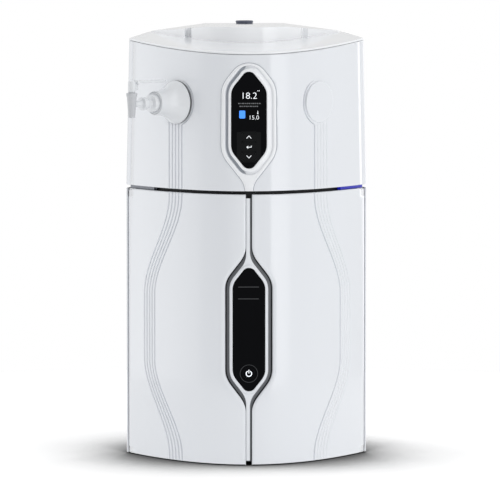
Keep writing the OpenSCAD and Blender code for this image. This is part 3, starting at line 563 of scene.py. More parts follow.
def rear_columns(start):
    """Columns from a start on the right side round the back to the left side."""
    made = [(start, 0)]
    if start < rear_stops[0]:
        made += plain(start, rear_stops[0], 10)
    for (length, turn), stop in zip(rear_run[1:], rear_stops[1:]):
        made += plain(made[-1][0], stop, 8 if turn else 3)
    return made + [(2 * back_mid - run, depth) for run, depth in reversed(made[:-1])]


def round_back(run, depth, scale=1):
    side, run = (-1, 2 * back_mid - run) if run > back_mid else (1, run)
    p = wall(run, depth) * scale
    return (side * p.x, p.y)


panel_low, panel_high = (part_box("service_panel")[i][2] for i in (0, 1))
window_half = 46 * mm
window_low, window_high = panel_low + 12 * mm, panel_high - 12 * mm


def on_back(spot):
    return spot.y > back_y - mm


def behind_panel(spot):
    return on_back(spot) and abs(spot.x) < window_half and window_low < spot.z < window_high


bm = panel(lambda z: rear_columns(front_x + 0.4 * mm),
           edge_rows(door_bottom, door_top, 1.2 * mm, rear_t, spread(door_bottom, door_top, 24)),
           lambda run, depth, z: round_back(run, depth))
for spot, normal in (((-window_half, 0, 0), (1, 0, 0)), ((window_half, 0, 0), (1, 0, 0)),
                     ((0, 0, window_low), (0, 0, 1)), ((0, 0, window_high), (0, 0, 1))):
    flat = [f for f in bm.faces if on_back(f.calc_center_median())]
    parts = dict.fromkeys(part for f in flat for part in [f, *f.edges, *f.verts])
    bmesh.ops.bisect_plane(bm, geom=list(parts), dist=1e-6, plane_co=spot, plane_no=normal)
cut_out(bm, behind_panel)
finish_piece("lower_rear_skin", bm, gloss_white, "rear_shell", wall_t=rear_t)

rear_rows = upper_rows + [(upper_top + step, 0) for step in spread(0, back_rise, 4)[1:]]
bm = panel(lambda z: rear_columns(split_run + 0.3 * mm), rear_rows,
           lambda run, depth, z: round_back(run, depth, upper_scale(z)))
under_top(bm, cover_t + cover_gap)
finish_piece("upper_rear_skin", bm, gloss_white, "upper_rear_cover", wall_t=rear_t)

# ---- Top cover ----
# Two white mouldings close the top. Both are painted a lighter white than the
# casing's same plastic, as painted light. The rim follows the plan and slopes
# up to the back. The hump has a bowed front wall with a crease at each end, a
# crowned roof and two swept wings.

lip_r, lip_in = 1.5, 10
rim_edge = [(0.6, -3.0), (0.1, -2.7), (0, -2.2)] + [
    (lip_r * (1 - cos(a)), -lip_r * (1 - sin(a))) for a in spread(0, pi / 2, 5)] + [(lip_in, 0)]
front_steps = 80
cover_runs = spread(-front_x, front_x, front_steps)
for length, turn in rear_run:
    cover_runs += [cover_runs[-1] + step for step in spread(0, length, 10 if turn else 4)[1:]]
cover_runs = cover_runs[:-1] + [
    2 * back_mid - run for run in reversed(cover_runs[front_steps + 1:])]


def cover_top(y):
    return rim_z + (y - nose_y) * tan(top_slope)


def cover_place(run, inset):
    p = Vector(round_back(run, inset)) if run > front_x else wall(run, inset)
    return p * upper_scale(cover_top(p.y))


def swept(rings, closed=True):
    """A skin through rings of points, closed into a tube or filled across at its ends."""
    bm = bmesh.new()
    around, along = len(rings[0]), len(rings) - (not closed)
    bmesh.ops.create_grid(bm, x_segments=around, y_segments=along, size=1)
    for v in bm.verts:
        i = round((v.co.x + 1) / 2 * around) % around
        v.co = rings[round((v.co.y + 1) / 2 * along) % len(rings)][i]
    bmesh.ops.remove_doubles(bm, verts=bm.verts, dist=0.005 * mm)
    bmesh.ops.dissolve_degenerate(bm, edges=bm.edges, dist=0.005 * mm)
    if not closed:
        bmesh.ops.holes_fill(bm, edges=[e for e in bm.edges if e.is_boundary])
    bmesh.ops.recalc_face_normals(bm, faces=bm.faces)
    return bm


rings = []
for inset, rise in rim_edge:
    spots = [cover_place(run, inset * mm) for run in cover_runs]
    rings.append([(spot.x, spot.y, cover_top(spot.y) + rise * mm) for spot in spots])
# Painted light: a lighter copy of the casing's white, for the top rim and the bezel, which are the
# same plastic.
cover_painted_light_white = finish_material("cover_painted_light_white", (0.855, 0.872, 0.90), 0.16, coat=1.0)
finish_piece("cover_rim", swept(rings, closed=False), cover_painted_light_white, "top_cover",
             keep_sharp=50)

hump_front_y = nose_y + 122 * mm
hump_bow = 150 * mm
hump_low = rim_z + 4 * mm
hump_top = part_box("top_cover")[1][2]
bow_half = 84 * mm
crease = [(85.1, 0.5), (86.0, 2.7), (86.3, 5.0)]
left_crease = crease + [(86.5, 14), (87.5, 22), (91.5, 22), (96.5, 10)]
right_crease = crease + [(86.5, 8), (87.2, 11), (89, 13), (92.5, 12), (96.5, 10)]
wing_end = (147, 73)
wing_back = 80 * mm
roof_half = 62 * mm
roof_slope = radians(6.3)
brow_r = 2.2 * mm
hump_plan = [(x, hump_front_y + x * x / hump_bow) for x in spread(-bow_half, bow_half, 42)]
hump_plan += [(x * mm, y * mm) for x, y in right_crease + [wing_end]]
hump_plan += [tuple(cover_place(run, 1.8 * mm)) for run in cover_runs
              if run > front_x and round_back(run, 0)[1] > wing_back]
hump_plan += [(-x * mm, y * mm) for x, y in reversed(left_crease + [wing_end])]
bm = bmesh.new()
base = bm.faces.new([bm.verts.new((x, y, hump_low)) for x, y in hump_plan])
up = bmesh.ops.extrude_face_region(bm, geom=[base])
bmesh.ops.translate(bm, vec=(0, 0, 60 * mm),
                    verts=[g for g in up["geom"] if isinstance(g, bmesh.types.BMVert)])
for side in (-1, 0, 1):
    bmesh.ops.bisect_plane(
        bm, geom=bm.verts[:] + bm.edges[:] + bm.faces[:], dist=1e-6, clear_outer=True,
        plane_co=(side * roof_half, 0, hump_top - 0.02 * mm),
        plane_no=(side * sin(roof_slope), 0, cos(roof_slope)))
    bmesh.ops.holes_fill(bm, edges=[e for e in bm.edges if e.is_boundary])
bmesh.ops.recalc_face_normals(bm, faces=bm.faces)
bm.normal_update()
brow = [e for e in bm.edges if e.calc_face_angle(0) > radians(25)
        and all(v.co.z > rim_z + 6 * mm and abs(v.co.x) < bow_half + mm and v.co.y < 0
                for v in e.verts)]
bmesh.ops.bevel(bm, geom=brow, offset=brow_r, segments=4, profile=0.5, affect="EDGES",
                material=-1, clamp_overlap=True)
# Painted light: a still lighter copy of the casing's white, for the hump, which is the same
# plastic.
hump_painted_light_white = finish_material("hump_painted_light_white", (0.93, 0.945, 0.965), 0.16, coat=1.0)
finish_piece("cover_hump", bm, hump_painted_light_white, "top_cover", keep_sharp=50)

# ---- Centre pod ----
# A white moulding frames the lower glass and runs up and down as a thin stem
# beside the left door. A grey rubber liner sits in the groove round it.

side_r = 25.7 * mm
tip_r = 10.4 * mm
neck_r = 32 * mm
notch_h = 6 * mm
stem_left = 4.4 * mm
stem_right = 1.6 * mm
pod_edge = 5.6 * mm
pod_inner = [(0.15, 9), (0.15, 1.4), (0.35, 0.9), (0.8, 0.45), (1.5, 0.25), (2.6, 0.25),
             (3.4, 0.55), (4.0, 1.1), (4.25, 1.6), (4.5, 2.0)]
pod_outer = [(0.9, 2.1), (0.4, 2.2), (0.1, 2.5), (0, 3.1), (0, 9)]


def subdivided(corners):
    """The same polygon with three more points on each of its slanted sides."""
    made = []
    for (x0, z0, r, steps), (x1, z1, *after) in zip(corners, corners[1:] + corners[:1]):
        made.append((x0, z0, r, steps))
        if abs(x0 - x1) > mm and abs(z0 - z1) > mm:
            made += [(x0 + (x1 - x0) * t, z0 + (z1 - z0) * t, 0, 0) for t in (0.38, 0.5, 0.62)]
    return made


def outline(corners, grow):
    """Points round a polygon whose corners are x, z, radius and steps, all of it grown."""
    corners = subdivided(corners)
    made = []
    for i, (x, z, r, steps) in enumerate(corners):
        p = Vector((x, z))
        ahead = (Vector(corners[(i + 1) % len(corners)][:2]) - p).normalized()
        behind = (p - Vector(corners[i - 1][:2])).normalized()
        inward = Vector((-behind.y, behind.x))
        turn = atan2(behind.x * ahead.y - behind.y * ahead.x, behind.dot(ahead))
        side = 1 if turn > 0 else -1
        mitre = (inward + Vector((-ahead.y, ahead.x))) / (1 + cos(turn))
        for k in range(steps + 1):
            if r + side * grow <= 0:
                made.append(p - grow * mitre)
            else:
                out = Matrix.Rotation(turn * k / max(steps, 1), 2) @ inward
                made.append(p + side * (r * mitre - (r + side * grow) * out))
    return made


def glass_corners(w, h, tip_steps):
    """Corners of a glass, with the steps at its lower and upper tips."""
    side, steps = slant_start(w, h, 0), 6
    half = [(tip_w / 2, -h / 2, tip_r, tip_steps[0]), (w / 2, -side, side_r, steps),
            (w / 2, side, side_r, steps), (tip_w / 2, h / 2, tip_r, tip_steps[1])]
    return half + [(-x, z, r, count) for x, z, r, count in reversed(half)]


def framed_corners(w, h, grow, stems, low, high):
    """Corners of a grown glass that runs into a stem below, and above where high is given."""
    half_w, side, steps = w / 2 + grow, slant_start(w, h, grow), 6
    made = []
    for sign, stem in zip((1, -1), stems):
        neck = side + (half_w - stem) / slant
        half = [(stem, low, 0, 0), (stem, -neck, neck_r, 12), (half_w, -side, side_r + grow, steps),
                (half_w, side, side_r + grow, steps)]
        if high:
            half += [(stem, neck, neck_r, 12), (stem, high, 0, 0)]
        else:
            top = h / 2 + grow - 2.6 * mm
            half += [(half_w - slant * (top - side), top, 31 * mm, steps)]
        made += half if sign > 0 else [(-x, z, r, count) for x, z, r, count in reversed(half)]
    return made


def lower_place(run, depth, z):
    return wall(run, depth)


def moulding(rings, place):
    """A closed moulding through rings of points in X and Z, each point with its depth."""
    return swept([[(*place(x, depth, z), z) for x, z, depth in ring] for ring in rings])


trim_low, trim_high = door_bottom + notch_h, door_top - notch_h
spill = 4 * mm
glass_ring = glass_corners(pod_w, pod_h, (13, 13))
frame_ring = framed_corners(pod_w, pod_h, pod_edge, (stem_right, stem_left),
                            trim_low - pod_z - spill, trim_high - pod_z + spill)
rings = [[(p.x, p.y + pod_z, d * mm) for p in outline(glass_ring, t * mm)] for t, d in pod_inner]
rings += [[(p.x, min(max(p.y + pod_z, trim_low), trim_high), d * mm)
           for p in outline(frame_ring, -t * mm)] for t, d in pod_outer]
finish_piece("pod_trim", moulding(rings, lower_place), gloss_white, "centre_trim")

liner_grow = 11 * mm
liner_stem = 4.55 * mm
liner_d = 3.2 * mm
rubber = finish_material("rubber", (0.105, 0.11, 0.12), 0.5, grain=1600, bump=0.1)


def liner_columns(z):
    outer = lozenge_edge(z - pod_z, pod_w / 2 + liner_grow,
                         slant_start(pod_w, pod_h, liner_grow), liner_stem)
    right = [(outer - 5.6 * mm if outer > 8 * mm else outer * 0.4, liner_d),
             (outer - 0.7 * mm, liner_d + 1.4 * mm), (outer - 0.2 * mm, liner_d + 1.7 * mm),
             (outer, liner_d + 2.4 * mm), (outer, 12 * mm)]
    return [(-run, depth) for run, depth in reversed(right)] + right


# Rows stand closer where the liner slants or turns.
turn_low = slant_start(pod_w, pod_h, 0) - 14 * mm
turn_high = pod_h / 2 + 26 * mm
bands = spread(turn_low, turn_high, round((turn_high - turn_low) / (1.2 * mm)))
zs = spread(trim_low, trim_high, 30) + [pod_z + side * band for side in (-1, 1) for band in bands]
zs = sorted(z for z in zs if trim_low - 1e-9 < z < trim_high + 1e-9)
liner_rows = [(z, 0) for z, after in zip(zs, zs[1:] + [trim_high + mm]) if after - z > 0.02 * mm]
finish_piece("pod_liner", panel(liner_columns, liner_rows, lower_place), rubber)


def dress(material, *nodes):
    """Gives CAD nodes that keep their own shape their real finish."""
    for node in nodes:
        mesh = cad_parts[node].data
        mesh.materials.clear()
        mesh.materials.append(material)


black_glass = finish_material("black_glass", (0.002, 0.0022, 0.003), 0.06, bump=0.0,
                              Specular_IOR_Level=0.045)
dress(black_glass, "power_panel", "power_button", "display_lens")

# ---- Display ----
# The black glass sits in a white bezel that runs down to the seam as a stem.
# The bezel is painted a lighter white than the casing, as painted light. A grey
# sheet in its groove is painted shade, and a grey ring at its edge is a painted
# shadow line. Two readings, a tank symbol and three keys show through the glass.

bezel_grow = 16.2 * mm
bezel_stem = 6.5 * mm
groove_left = [(0.15, 6), (0.15, -1.4), (0.35, -1.9), (0.8, -2.3), (1.6, -2.5), (3.3, -2.5),
               (4.0, -2.2), (4.5, -1.4), (4.8, 0.5), (5.2, 4.2), (7.4, 4.6), (9.0, 4.2), (9.4, 0.5),
               (9.8, -1.2), (10.3, -2.0), (11.0, -2.4), (12.2, -2.5)]
groove_right = [(0.15, 6), (0.15, -1.4), (0.35, -1.9), (0.8, -2.3), (1.6, -2.5), (2.6, -2.45),
                (3.8, -2.25), (5.0, -1.9), (6.2, -1.4), (7.4, -0.8), (8.6, -0.1), (9.4, 0.5),
                (9.8, 0.1), (10.1, -1.0), (10.6, -1.8), (11.3, -2.2), (12.4, -2.3)]
bezel_outer = [(3.0, -2.4), (2.1, -2.15), (1.3, -1.5), (0.6, -0.6), (0.2, 0.2), (0, 1.2), (0, 2.4)]
bezel_low = upper_low + 0.5 * mm


def bezel_ring(left, right):
    """A ring round the display glass between the left and the right side's station."""
    (t0, d0), (t1, d1) = left, right
    made = []
    for a, b in zip(outline(display_ring, t0 * mm), outline(display_ring, t1 * mm)):
        share = ease(-20 * mm, 20 * mm, a.x)
        p = a.lerp(b, share)
        made.append((p.x, p.y + display_mid, (d0 + (d1 - d0) * share) * mm))
    return made


def frame_rings(stations, shift=0):
    """Rings along the bezel's outer edge and stem, cut off level at the seam."""
    return [[(p.x + shift, max(p.y + display_mid, bezel_low), d * mm)
             for p in outline(bezel_frame, -t * mm)] for t, d in stations]


display_ring = glass_corners(display_w, display_h, (13, 6))
bezel_frame = framed_corners(display_w, display_h, bezel_grow, (bezel_stem, bezel_stem),
                             bezel_low - display_mid - spill, None)
rings = [bezel_ring(left, right) for left, right in zip(groove_left, groove_right)]
rings += frame_rings(bezel_outer) + [bezel_ring((11, 6), (11, 6))]
finish_piece("bezel_moulding", moulding(rings, upper_place), cover_painted_light_white, "display_bezel")
# Painted shade: a grey ring at the bezel's outer edge draws its shadow line, and a grey sheet in
# the groove darkens it where the groove is deep.
painted_shade_slate = finish_material("painted_shade_grey", (0.36, 0.385, 0.43), 0.5, grain=1600, bump=0.05)
painted_shadow_line = [(-0.5, -0.09), (0.4, -0.09), (0.4, 1.5), (-0.5, 1.5)]
finish_piece("bezel_gap", moulding(frame_rings(painted_shadow_line, 0.15 * mm), upper_place), painted_shade_slate)
painted_shade_form = [(5.0, 3.4), (5.6, 3.0), (8.6, 3.0), (9.2, 3.4), (9.2, 5.5), (5.0, 5.5)]
finish_piece("bezel_painted_shade_liner", moulding([bezel_ring(spot, spot) for spot in painted_shade_form], upper_place),
             painted_shade_slate)

lens_d = 1.2 * mm
print_lift = 0.06 * mm
face_tilt = atan(-nose_y * taper)
upper_nose = Vector((0, nose_y, upper_low))
face = (Matrix.Translation(upper_nose) @ Matrix.Rotation(-face_tilt, 4, "X")
        @ Matrix.Translation(-upper_nose))
upright = Matrix.Rotation(pi / 2, 4, "X")


def lit(name, colour, strength):
    return finish_material(name, [c * 0.5 for c in colour], 0.3, Emission_Color=(*colour, 1),
                           Emission_Strength=strength)


lit_white = lit("lit_white", (0.82, 0.85, 0.88), 0.9)
lit_grey = lit("lit_grey", (0.10, 0.105, 0.11), 0.8)
lit_blue = lit("lit_blue", (0.05, 0.27, 1.0), 0.9)
lit_dim = lit("lit_dim", (0.05, 0.053, 0.058), 0.5)


def strip(base, points, width):
    """A flat line through points in the XZ plane, in millimetres from a base height."""
    bm = bmesh.new()
    spots = [Vector((x * mm, 0, base + up * mm)) for x, up in points]
    for a, b in zip(spots, spots[1:]):
        along = (b - a).normalized() * width * mm / 2
        across = along.cross(Vector((0, 1, 0)))
        corners = (a - across - along, b - across + along, b + across + along, a + across - along)
        bm.faces.new([bm.verts.new(corner) for corner in corners])
    return bm


def tile(base, x, up, w, h, r, steps=5):
    """A flat rounded rectangle in the XZ plane, in millimetres from a base height."""
    bm = bmesh.new()
    bmesh.ops.create_grid(bm, x_segments=1, y_segments=1, size=0.5 * mm)
    bmesh.ops.scale(bm, vec=(w, h, 1), verts=bm.verts)
    bmesh.ops.bevel(bm, geom=bm.verts, offset=r * mm, segments=steps, profile=0.5,
                    affect="VERTICES", material=-1)
    bmesh.ops.rotate(bm, matrix=Matrix.Rotation(pi / 2, 3, "X"), verts=bm.verts)
    bmesh.ops.translate(bm, vec=(x * mm, 0, base + up * mm), verts=bm.verts)
    return bm


def written(text, size, x, z):
    """Flat figures in the XZ plane, drawn a little thin and wide round a middle at x and z."""
    curve = bpy.data.curves.new("figures", "FONT")
    curve.body = text
    curve.size = size
    curve.offset = -0.011 * size
    curve.align_x, curve.align_y = "CENTER", "CENTER"
    word = bpy.data.objects.new("figures", curve)
    bpy.context.collection.objects.link(word)
    drawn = word.evaluated_get(bpy.context.evaluated_depsgraph_get())
    mesh = bpy.data.meshes.new_from_object(drawn)
    bpy.data.objects.remove(word)
    bm = bmesh.new()
    bm.from_mesh(mesh)
    bpy.data.meshes.remove(mesh)
    wider = Matrix.Diagonal((1.06, 1, 1, 1))
    place = Matrix.Translation((x, 0, z)) @ upright @ wider
    bmesh.ops.transform(bm, matrix=place, verts=bm.verts)
    return bm


def print_on(name, bm, material, body="cabinet", depth=lens_d, tilt=face):
    """Puts flat print just in front of a window that lies depth behind the nose."""
    shift = Matrix.Translation((0, nose_y + depth - print_lift, 0))
    bmesh.ops.transform(bm, matrix=tilt @ shift, verts=bm.verts)
    finish_piece(name, bm, material, body=body)


def joined(*parts):
    """One bmesh from several."""
    mesh = bpy.data.meshes.new("part")
    for part in parts[1:]:
        part.to_mesh(mesh)
        part.free()
        parts[0].from_mesh(mesh)
    bpy.data.meshes.remove(mesh)
    return parts[0]


print_on("resistivity_reading", written("18.2", 14 * mm, 0.2 * mm, display_mid + 37 * mm),
         lit_white)
print_on("temperature_reading", written("15.0", 9 * mm, 7.6 * mm, display_mid + 3.8 * mm),
         lit_white)
unit_marks = [(13.4, 45, 1.3, 1, 0.3), (15.7, 45, 2, 1, 0.3), (13.6, 12.2, 0.8, 4.6, 0.3),
              (13.6, 10.2, 1.8, 1.8, 0.8)]
print_on("unit_marks", joined(*[tile(display_mid, *mark) for mark in unit_marks]), lit_white)
print_on("tank_symbol", tile(display_mid, -10.2, 8.7, 9.2, 12, 1.6), lit_blue)
dash_lengths = (2.6, 1.4, 3.4, 1.8, 2.2)
dashes = []
for row, (up, half) in enumerate(((25.6, 16.5), (21.2, 14.5))):
    place, step = -half, 2 * row
    while place < half:
        length = dash_lengths[step % len(dash_lengths)]
        dashes.append(tile(display_mid, place + length / 2, up, length, 1.6, 0.3, 2))
        place += length + 0.9
        step += 1
print_on("message_lines", joined(*dashes), lit_grey)

key_mid = display_mid - 41 * mm
key_pitch = 15.2
chevron = [(-3.3, -1.8), (0, 1.8), (3.3, -1.8)]
arrow = [(3.6, 1.6), (3.6, -0.4), (-3, -0.4)]
arrow_head = [(-1.4, 1.2), (-3.2, -0.4), (-1.4, -2)]
key_finish = finish_material("key_black", (0.0045, 0.005, 0.0058), 0.35, Specular_IOR_Level=0.1)
for key, place, marks in (
        ("key_up", 1, [chevron]), ("key_enter", 0, [arrow, arrow_head]),
        ("key_down", -1, [[(x, -up) for x, up in chevron]])):
    dress(key_finish, key)
    height = key_mid + place * key_pitch * mm
    print_on(key + "_mark", joined(*[strip(height, mark, 0.85) for mark in marks]), lit_white,
             key)

pad_w, key_w, key_h = 37, 21, 13.4
pad_sides = [tile(key_mid, side * (pad_w + key_w) / 4, 0, (pad_w - key_w) / 2, 3 * key_pitch, 1)
             for side in (-1, 1)]
pad_gaps = [tile(key_mid, 0, place * key_pitch, key_w + 2, key_pitch - key_h, 0.3)
            for place in (-1.5, -0.5, 0.5, 1.5)]
print_on("keypad_ground", joined(*pad_sides, *pad_gaps), key_finish)

power_z = pod_z - pod_h / 2 + 27 * mm
glass_d = 3.6 * mm
symbol_r, halo_r = 4.2, 13.5
power_arc = [(symbol_r * sin(a), symbol_r * cos(a))
             for a in spread(radians(35), radians(325), 28)]
print_on("power_symbol", joined(
    strip(power_z, power_arc, 1.3), strip(power_z, [(0, 1.2), (0, 5.2)], 1.3)),
    lit_white, "power_button", depth=glass_d, tilt=Matrix())
halo = [(halo_r * sin(a), halo_r * cos(a)) for a in spread(0, 2 * pi, 60)]
print_on("pod_lines", joined(
    strip(power_z, halo, 0.8), *[tile(pod_z, -0.6, up, 32, 0.9, 0.2, 2) for up in (65.6, 47.3)]),
    lit_dim, depth=glass_d, tilt=Matrix())

# ---- Tap ----
# A bell-shaped flange on a black rubber gasket carries the valve body. The
# gasket's black is a painted shadow for the gap under the flange's edge. A grey
# tapered spout hangs from its end. A flat lever on top lifts the plunger. The
# rest is moulded in satin white, set a little darker than the casing's white as
# painted shade.


def front_frame(x, z):
    """A frame on the front cover at x and z, whose Z points out of it."""
    mid = skin(x) * upper_scale(z)
    return Matrix.Translation((mid.x, mid.y, z)) @ Matrix.Rotation(slope(x), 4, "Z") @ upright


tap_frame, cap_frame = front_frame(-tap_x, tap_z), front_frame(tap_x, tap_z)
# Satin white, darkened a little below the casing's white as painted shade on the bell.
tap_white = finish_material("tap_white", (0.745, 0.765, 0.79), 0.24, coat=0.5, mottle=0.01,
                            Coat_Roughness=0.06)


def lathe(stations, matrix=Matrix(), steps=72):
    """A body turned about Z from radii and heights in millimetres."""
    bm = bmesh.new()
    points = [bm.verts.new((r * mm, 0, z * mm)) for r, z in stations]
    edges = [bm.edges.new(pair) for pair in zip(points, points[1:])]
    bmesh.ops.spin(bm, geom=points + edges, cent=(0, 0, 0), axis=(0, 0, 1), angle=2 * pi,
                   steps=steps, use_merge=True)
    bmesh.ops.remove_doubles(bm, verts=bm.verts, dist=0.005 * mm)
    bmesh.ops.recalc_face_normals(bm, faces=bm.faces)
    bmesh.ops.transform(bm, matrix=matrix, verts=bm.verts)
    return bm


def rounded(r, z0, z1, edge_r=0.8):
    """Stations of a plain turned part with softened ends."""
    low = [(r - edge_r * (1 - sin(a)), z0 + edge_r * (1 - cos(a))) for a in spread(0, pi / 2, 3)]
    high = [(r - edge_r * (1 - cos(a)), z1 - edge_r * (1 - sin(a))) for a in spread(0, pi / 2, 3)]
    return [(0, z0)] + low + high + [(0, z1)]


def block(size, edge_r, matrix, end_r=0, segments=3):
    """A block in its place, in millimetres, with rounded edges and its ends rounded in XZ."""
    bm = bmesh.new()
    bmesh.ops.create_cube(bm, size=mm)
    bmesh.ops.scale(bm, vec=size, verts=bm.verts)
    if end_r:
        ends = [e for e in bm.edges if abs(e.verts[0].co.y - e.verts[1].co.y) > mm]
        bmesh.ops.bevel(bm, geom=ends, offset=end_r * mm, segments=6, profile=0.5,
                        affect="EDGES", material=-1)
    edges = [e for e in bm.edges if e.calc_face_angle(0) > radians(50)]
    bmesh.ops.bevel(bm, geom=edges, offset=edge_r * mm, segments=segments, profile=0.5,
                    affect="EDGES", material=-1)
    bmesh.ops.transform(bm, matrix=matrix, verts=bm.verts)
    return bm


bell = [(33.4 - 14.9 * (1 - (1 - t) ** 2.2), 3.6 + 41.9 * t) for t in spread(0, 1, 20)]
flange = [(12.4, 2.3), (32.4, 2.3), (33.2, 2.5), (33.45, 2.8), (33.45, 3.2)] + bell + [
    (18.3, 46.3), (18.0, 46.9), (17.6, 47.1), (17.3, 46.8), (17.2, 45), (16.8, 44.8),
    (16.6, 45), (16.5, 46.8), (16.2, 47.2), (15.2, 47.3), (14.9, 47), (14.7, 46), (12.4, 45.6)]
finish_piece("tap_bell", lathe(flange, tap_frame, 96), tap_white, "tap_flange")
# The black gasket ring is a painted shadow along the flange's edge.
finish_piece("tap_gasket_painted_shadow", lathe(rounded(33.5, 0.2, 2.5, 0.2), tap_frame, 96), rubber)
neck = [(0, 43), (13.0, 43), (13.2, 54.2), (12.9, 55.0), (12.2, 55.4), (7.6, 55.6), (7.0, 56.2),
        (7.0, 65.4), (7.5, 66), (9.2, 66.1), (9.8, 66.5), (10, 67.2), (10, 72.8), (9.8, 73.5),
        (9.2, 73.9), (5.6, 74.1), (5, 74.7), (5, 92)]
spout_axis = tap_frame @ Matrix.Translation((0, 0, 94 * mm)) @ Matrix.Rotation(-pi / 2, 4, "X")
shank = rounded(12, -15, 43, 0.5)
stem_post = rounded(5.8, 17.3, 34.7, 1.0)
ear = block((4.4, 13, 9), 0.8, tap_frame @ Matrix.Translation((0, 27.3 * mm, 86.5 * mm)))
finish_piece("tap_valve", joined(
    lathe(neck, tap_frame), lathe(shank, tap_frame, 48), lathe(stem_post, spout_axis, 48),
    lathe(rounded(4.2, -17, 18, 0.3), spout_axis, 32), ear), tap_white, "tap_body")

smoked = finish_material("smoked_plastic", (0.54, 0.555, 0.58), 0.3, coat=0.2, grain=500,
                         bump=0.01)
spout = [(4.4, 17.0), (8.0, 17.0), (8.5, 16.5), (8.3, 12.2), (8.05, 11.6), (7.7, 11.3),
         (7.5, 10.9), (5.2, -20.2), (5.0, -20.8), (4.6, -21.0), (4.4, -20.4), (4.4, 16.6),
         (4.4, 17.0)]
finish_piece("tap_nozzle", lathe(spout, spout_axis, 64), smoked, "tap_spout")

pivot = tap_frame @ Matrix.Translation((0, 33.3 * mm, 84.4 * mm)) @ Matrix.Rotation(pi / 2, 4, "Y")
arm = block((13, 4, 58), 0.8, tap_frame @ Matrix.Translation((0, 33.7 * mm, 55.4 * mm)), 4.5)
cheeks = [lathe(rounded(3.2, *span, 0.5), pivot, 32) for span in ((-6.5, -2.7), (2.7, 6.5))]
pin = lathe(rounded(1.5, -6, 6, 0.2), pivot, 24)
finish_piece("tap_arm", joined(arm, *cheeks, pin), tap_white, "tap_lever", body="tap_lever")

# ---- Blank cap ----
# A flat snap-in cap closes the hole where a second tap could be fitted. It is
# moulded in the casing's white, with a short plug behind it.

disc = [(0, 2.0), (29.8, 1.9), (31, 1.7), (31.7, 1.2), (32, 0.5), (32, -1.5), (11, -1.5)]
plug = rounded(12, -8, -1.5, 0.4)
finish_piece("blank_disc", joined(lathe(disc, cap_frame, 96), lathe(plug, cap_frame, 48)),
             gloss_white, "blank_cap")

# ---- Seam ----
# A black frame carries the upper module clear of the deck, and a strip light
# shows at each end of the gap: one lit blue, one clear.

black_plastic = finish_material("black_plastic", (0.012, 0.012, 0.014), 0.45, grain=1400,
                                bump=0.08, Specular_IOR_Level=0.3)
dress(black_plastic, "seam_frame", "spine", "deck_plate")
dress(lit("blue_light", (0.006, 0.010, 0.36), 0.8), "seam_light_right")
dress(finish_material("light_guide", (0.30, 0.32, 0.37), 0.3, grain=300, bump=0.03),
      "seam_light_left")

# ---- Frame and feet ----
# A powder-coated base plate stands on four soft pads. Steel pins in the base
# and the deck carry the doors, which close on magnets in black catches.

frame_grey = finish_material("frame_grey", (0.060, 0.064, 0.070), 0.5, grain=2200, bump=0.25,
                             mottle=0.1)
inner_plastic = finish_material("inner_plastic", (0.47, 0.49, 0.52), 0.42, grain=1500, bump=0.08,
                                mottle=0.04)
steel = finish_material("steel", (0.56, 0.57, 0.58), 0.28, metallic=1.0, grain=30, bump=0.12,
                        mottle=0.06, stretch=(80, 80, 2))
dress(frame_grey, "base_plate")
dress(inner_plastic, "drip_tray", "dock_plate", "left_dock", "right_dock", "manifold",
      "upper_floor", "reservoir_lid", "pump_head", "tap_plunger", "service_panel")
dress(steel, "left_strike", "right_strike", "hinge_pins", "uv_reactor", "power_supply",
      "conductivity_cell")
dress(black_plastic, "door_catches", "inlet_valve", "power_inlet", "pump_rotor")


def turned(name, places, stations, material, node, body="cabinet", steps=64):
    """Copies of one turned part that stand on their places."""
    copies = [lathe(stations, Matrix.Translation(place), steps) for place in places]
    finish_piece(name, joined(*copies), material, node, body)


def standing(node):
    """Foot of an upright round node, and its radius and height in millimetres."""
    low, high = (Vector(corner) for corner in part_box(node))
    foot = ((low.x + high.x) / 2, (low.y + high.y) / 2, low.z)
    return foot, (high.x - low.x) / 2 / mm, (high.z - low.z) / mm


pad_r, pad_h = 13, standing("feet")[2]
pads = [(side * x * mm, y * mm, 0) for side in (-1, 1) for x, y in ((112, -40), (82, 115))]
turned("foot_pads", pads, [
    (0, 0.6), (8.5, 0.6), (9, 0.2), (9.5, 0), (pad_r - 1.2, 0), (pad_r - 0.3, 0.4),
    (pad_r, 1.2), (pad_r, pad_h - 1), (pad_r - 0.4, pad_h), (0, pad_h)], rubber, "feet")

# ---- Purification packs ----
# Two blow-moulded cartridges hang from bayonet docks behind the doors. Each
# has a ribbed foot to grip, a plain barrel and a sealing neck.

pack_white = finish_material("pack_white", (0.60, 0.65, 0.70), 0.32, coat=0.25, grain=1100,
                             bump=0.05, mottle=0.03)
pack_r, pack_h = 47, 262
neck_r, neck_high = 14, standing("left_pack")[2]
pack_stations = [(0, 0.8), (36, 0.8), (38, 0), (pack_r - 6, 0), (pack_r - 2.6, 1),
                 (pack_r - 1.2, 2.6)]
for low in range(6, 40, 4):
    pack_stations += [(pack_r - 1.5, low), (pack_r - 0.4, low + 0.5), (pack_r - 0.4, low + 2.2),
                      (pack_r - 1.5, low + 2.7)]
pack_stations += [
    (pack_r - 1.2, 44), (pack_r - 0.2, 46), (pack_r, 48), (pack_r, 150), (pack_r - 0.5, 151),
    (pack_r - 0.5, 189), (pack_r, 190), (pack_r, pack_h - 20), (pack_r - 0.6, pack_h - 17.5),
    (pack_r - 3, pack_h - 14), (pack_r - 3.4, pack_h - 12), (pack_r - 3.4, pack_h - 8),
    (pack_r - 4.4, pack_h - 4), (pack_r - 8, pack_h - 0.6), (pack_r - 11, pack_h),
    (neck_r + 1, pack_h), (neck_r, pack_h)]
for low in (3, 6.4):
    pack_stations += [(neck_r, pack_h + low), (neck_r - 1.3, pack_h + low + 0.3),
                      (neck_r - 1.3, pack_h + low + 1.7), (neck_r, pack_h + low + 2)]
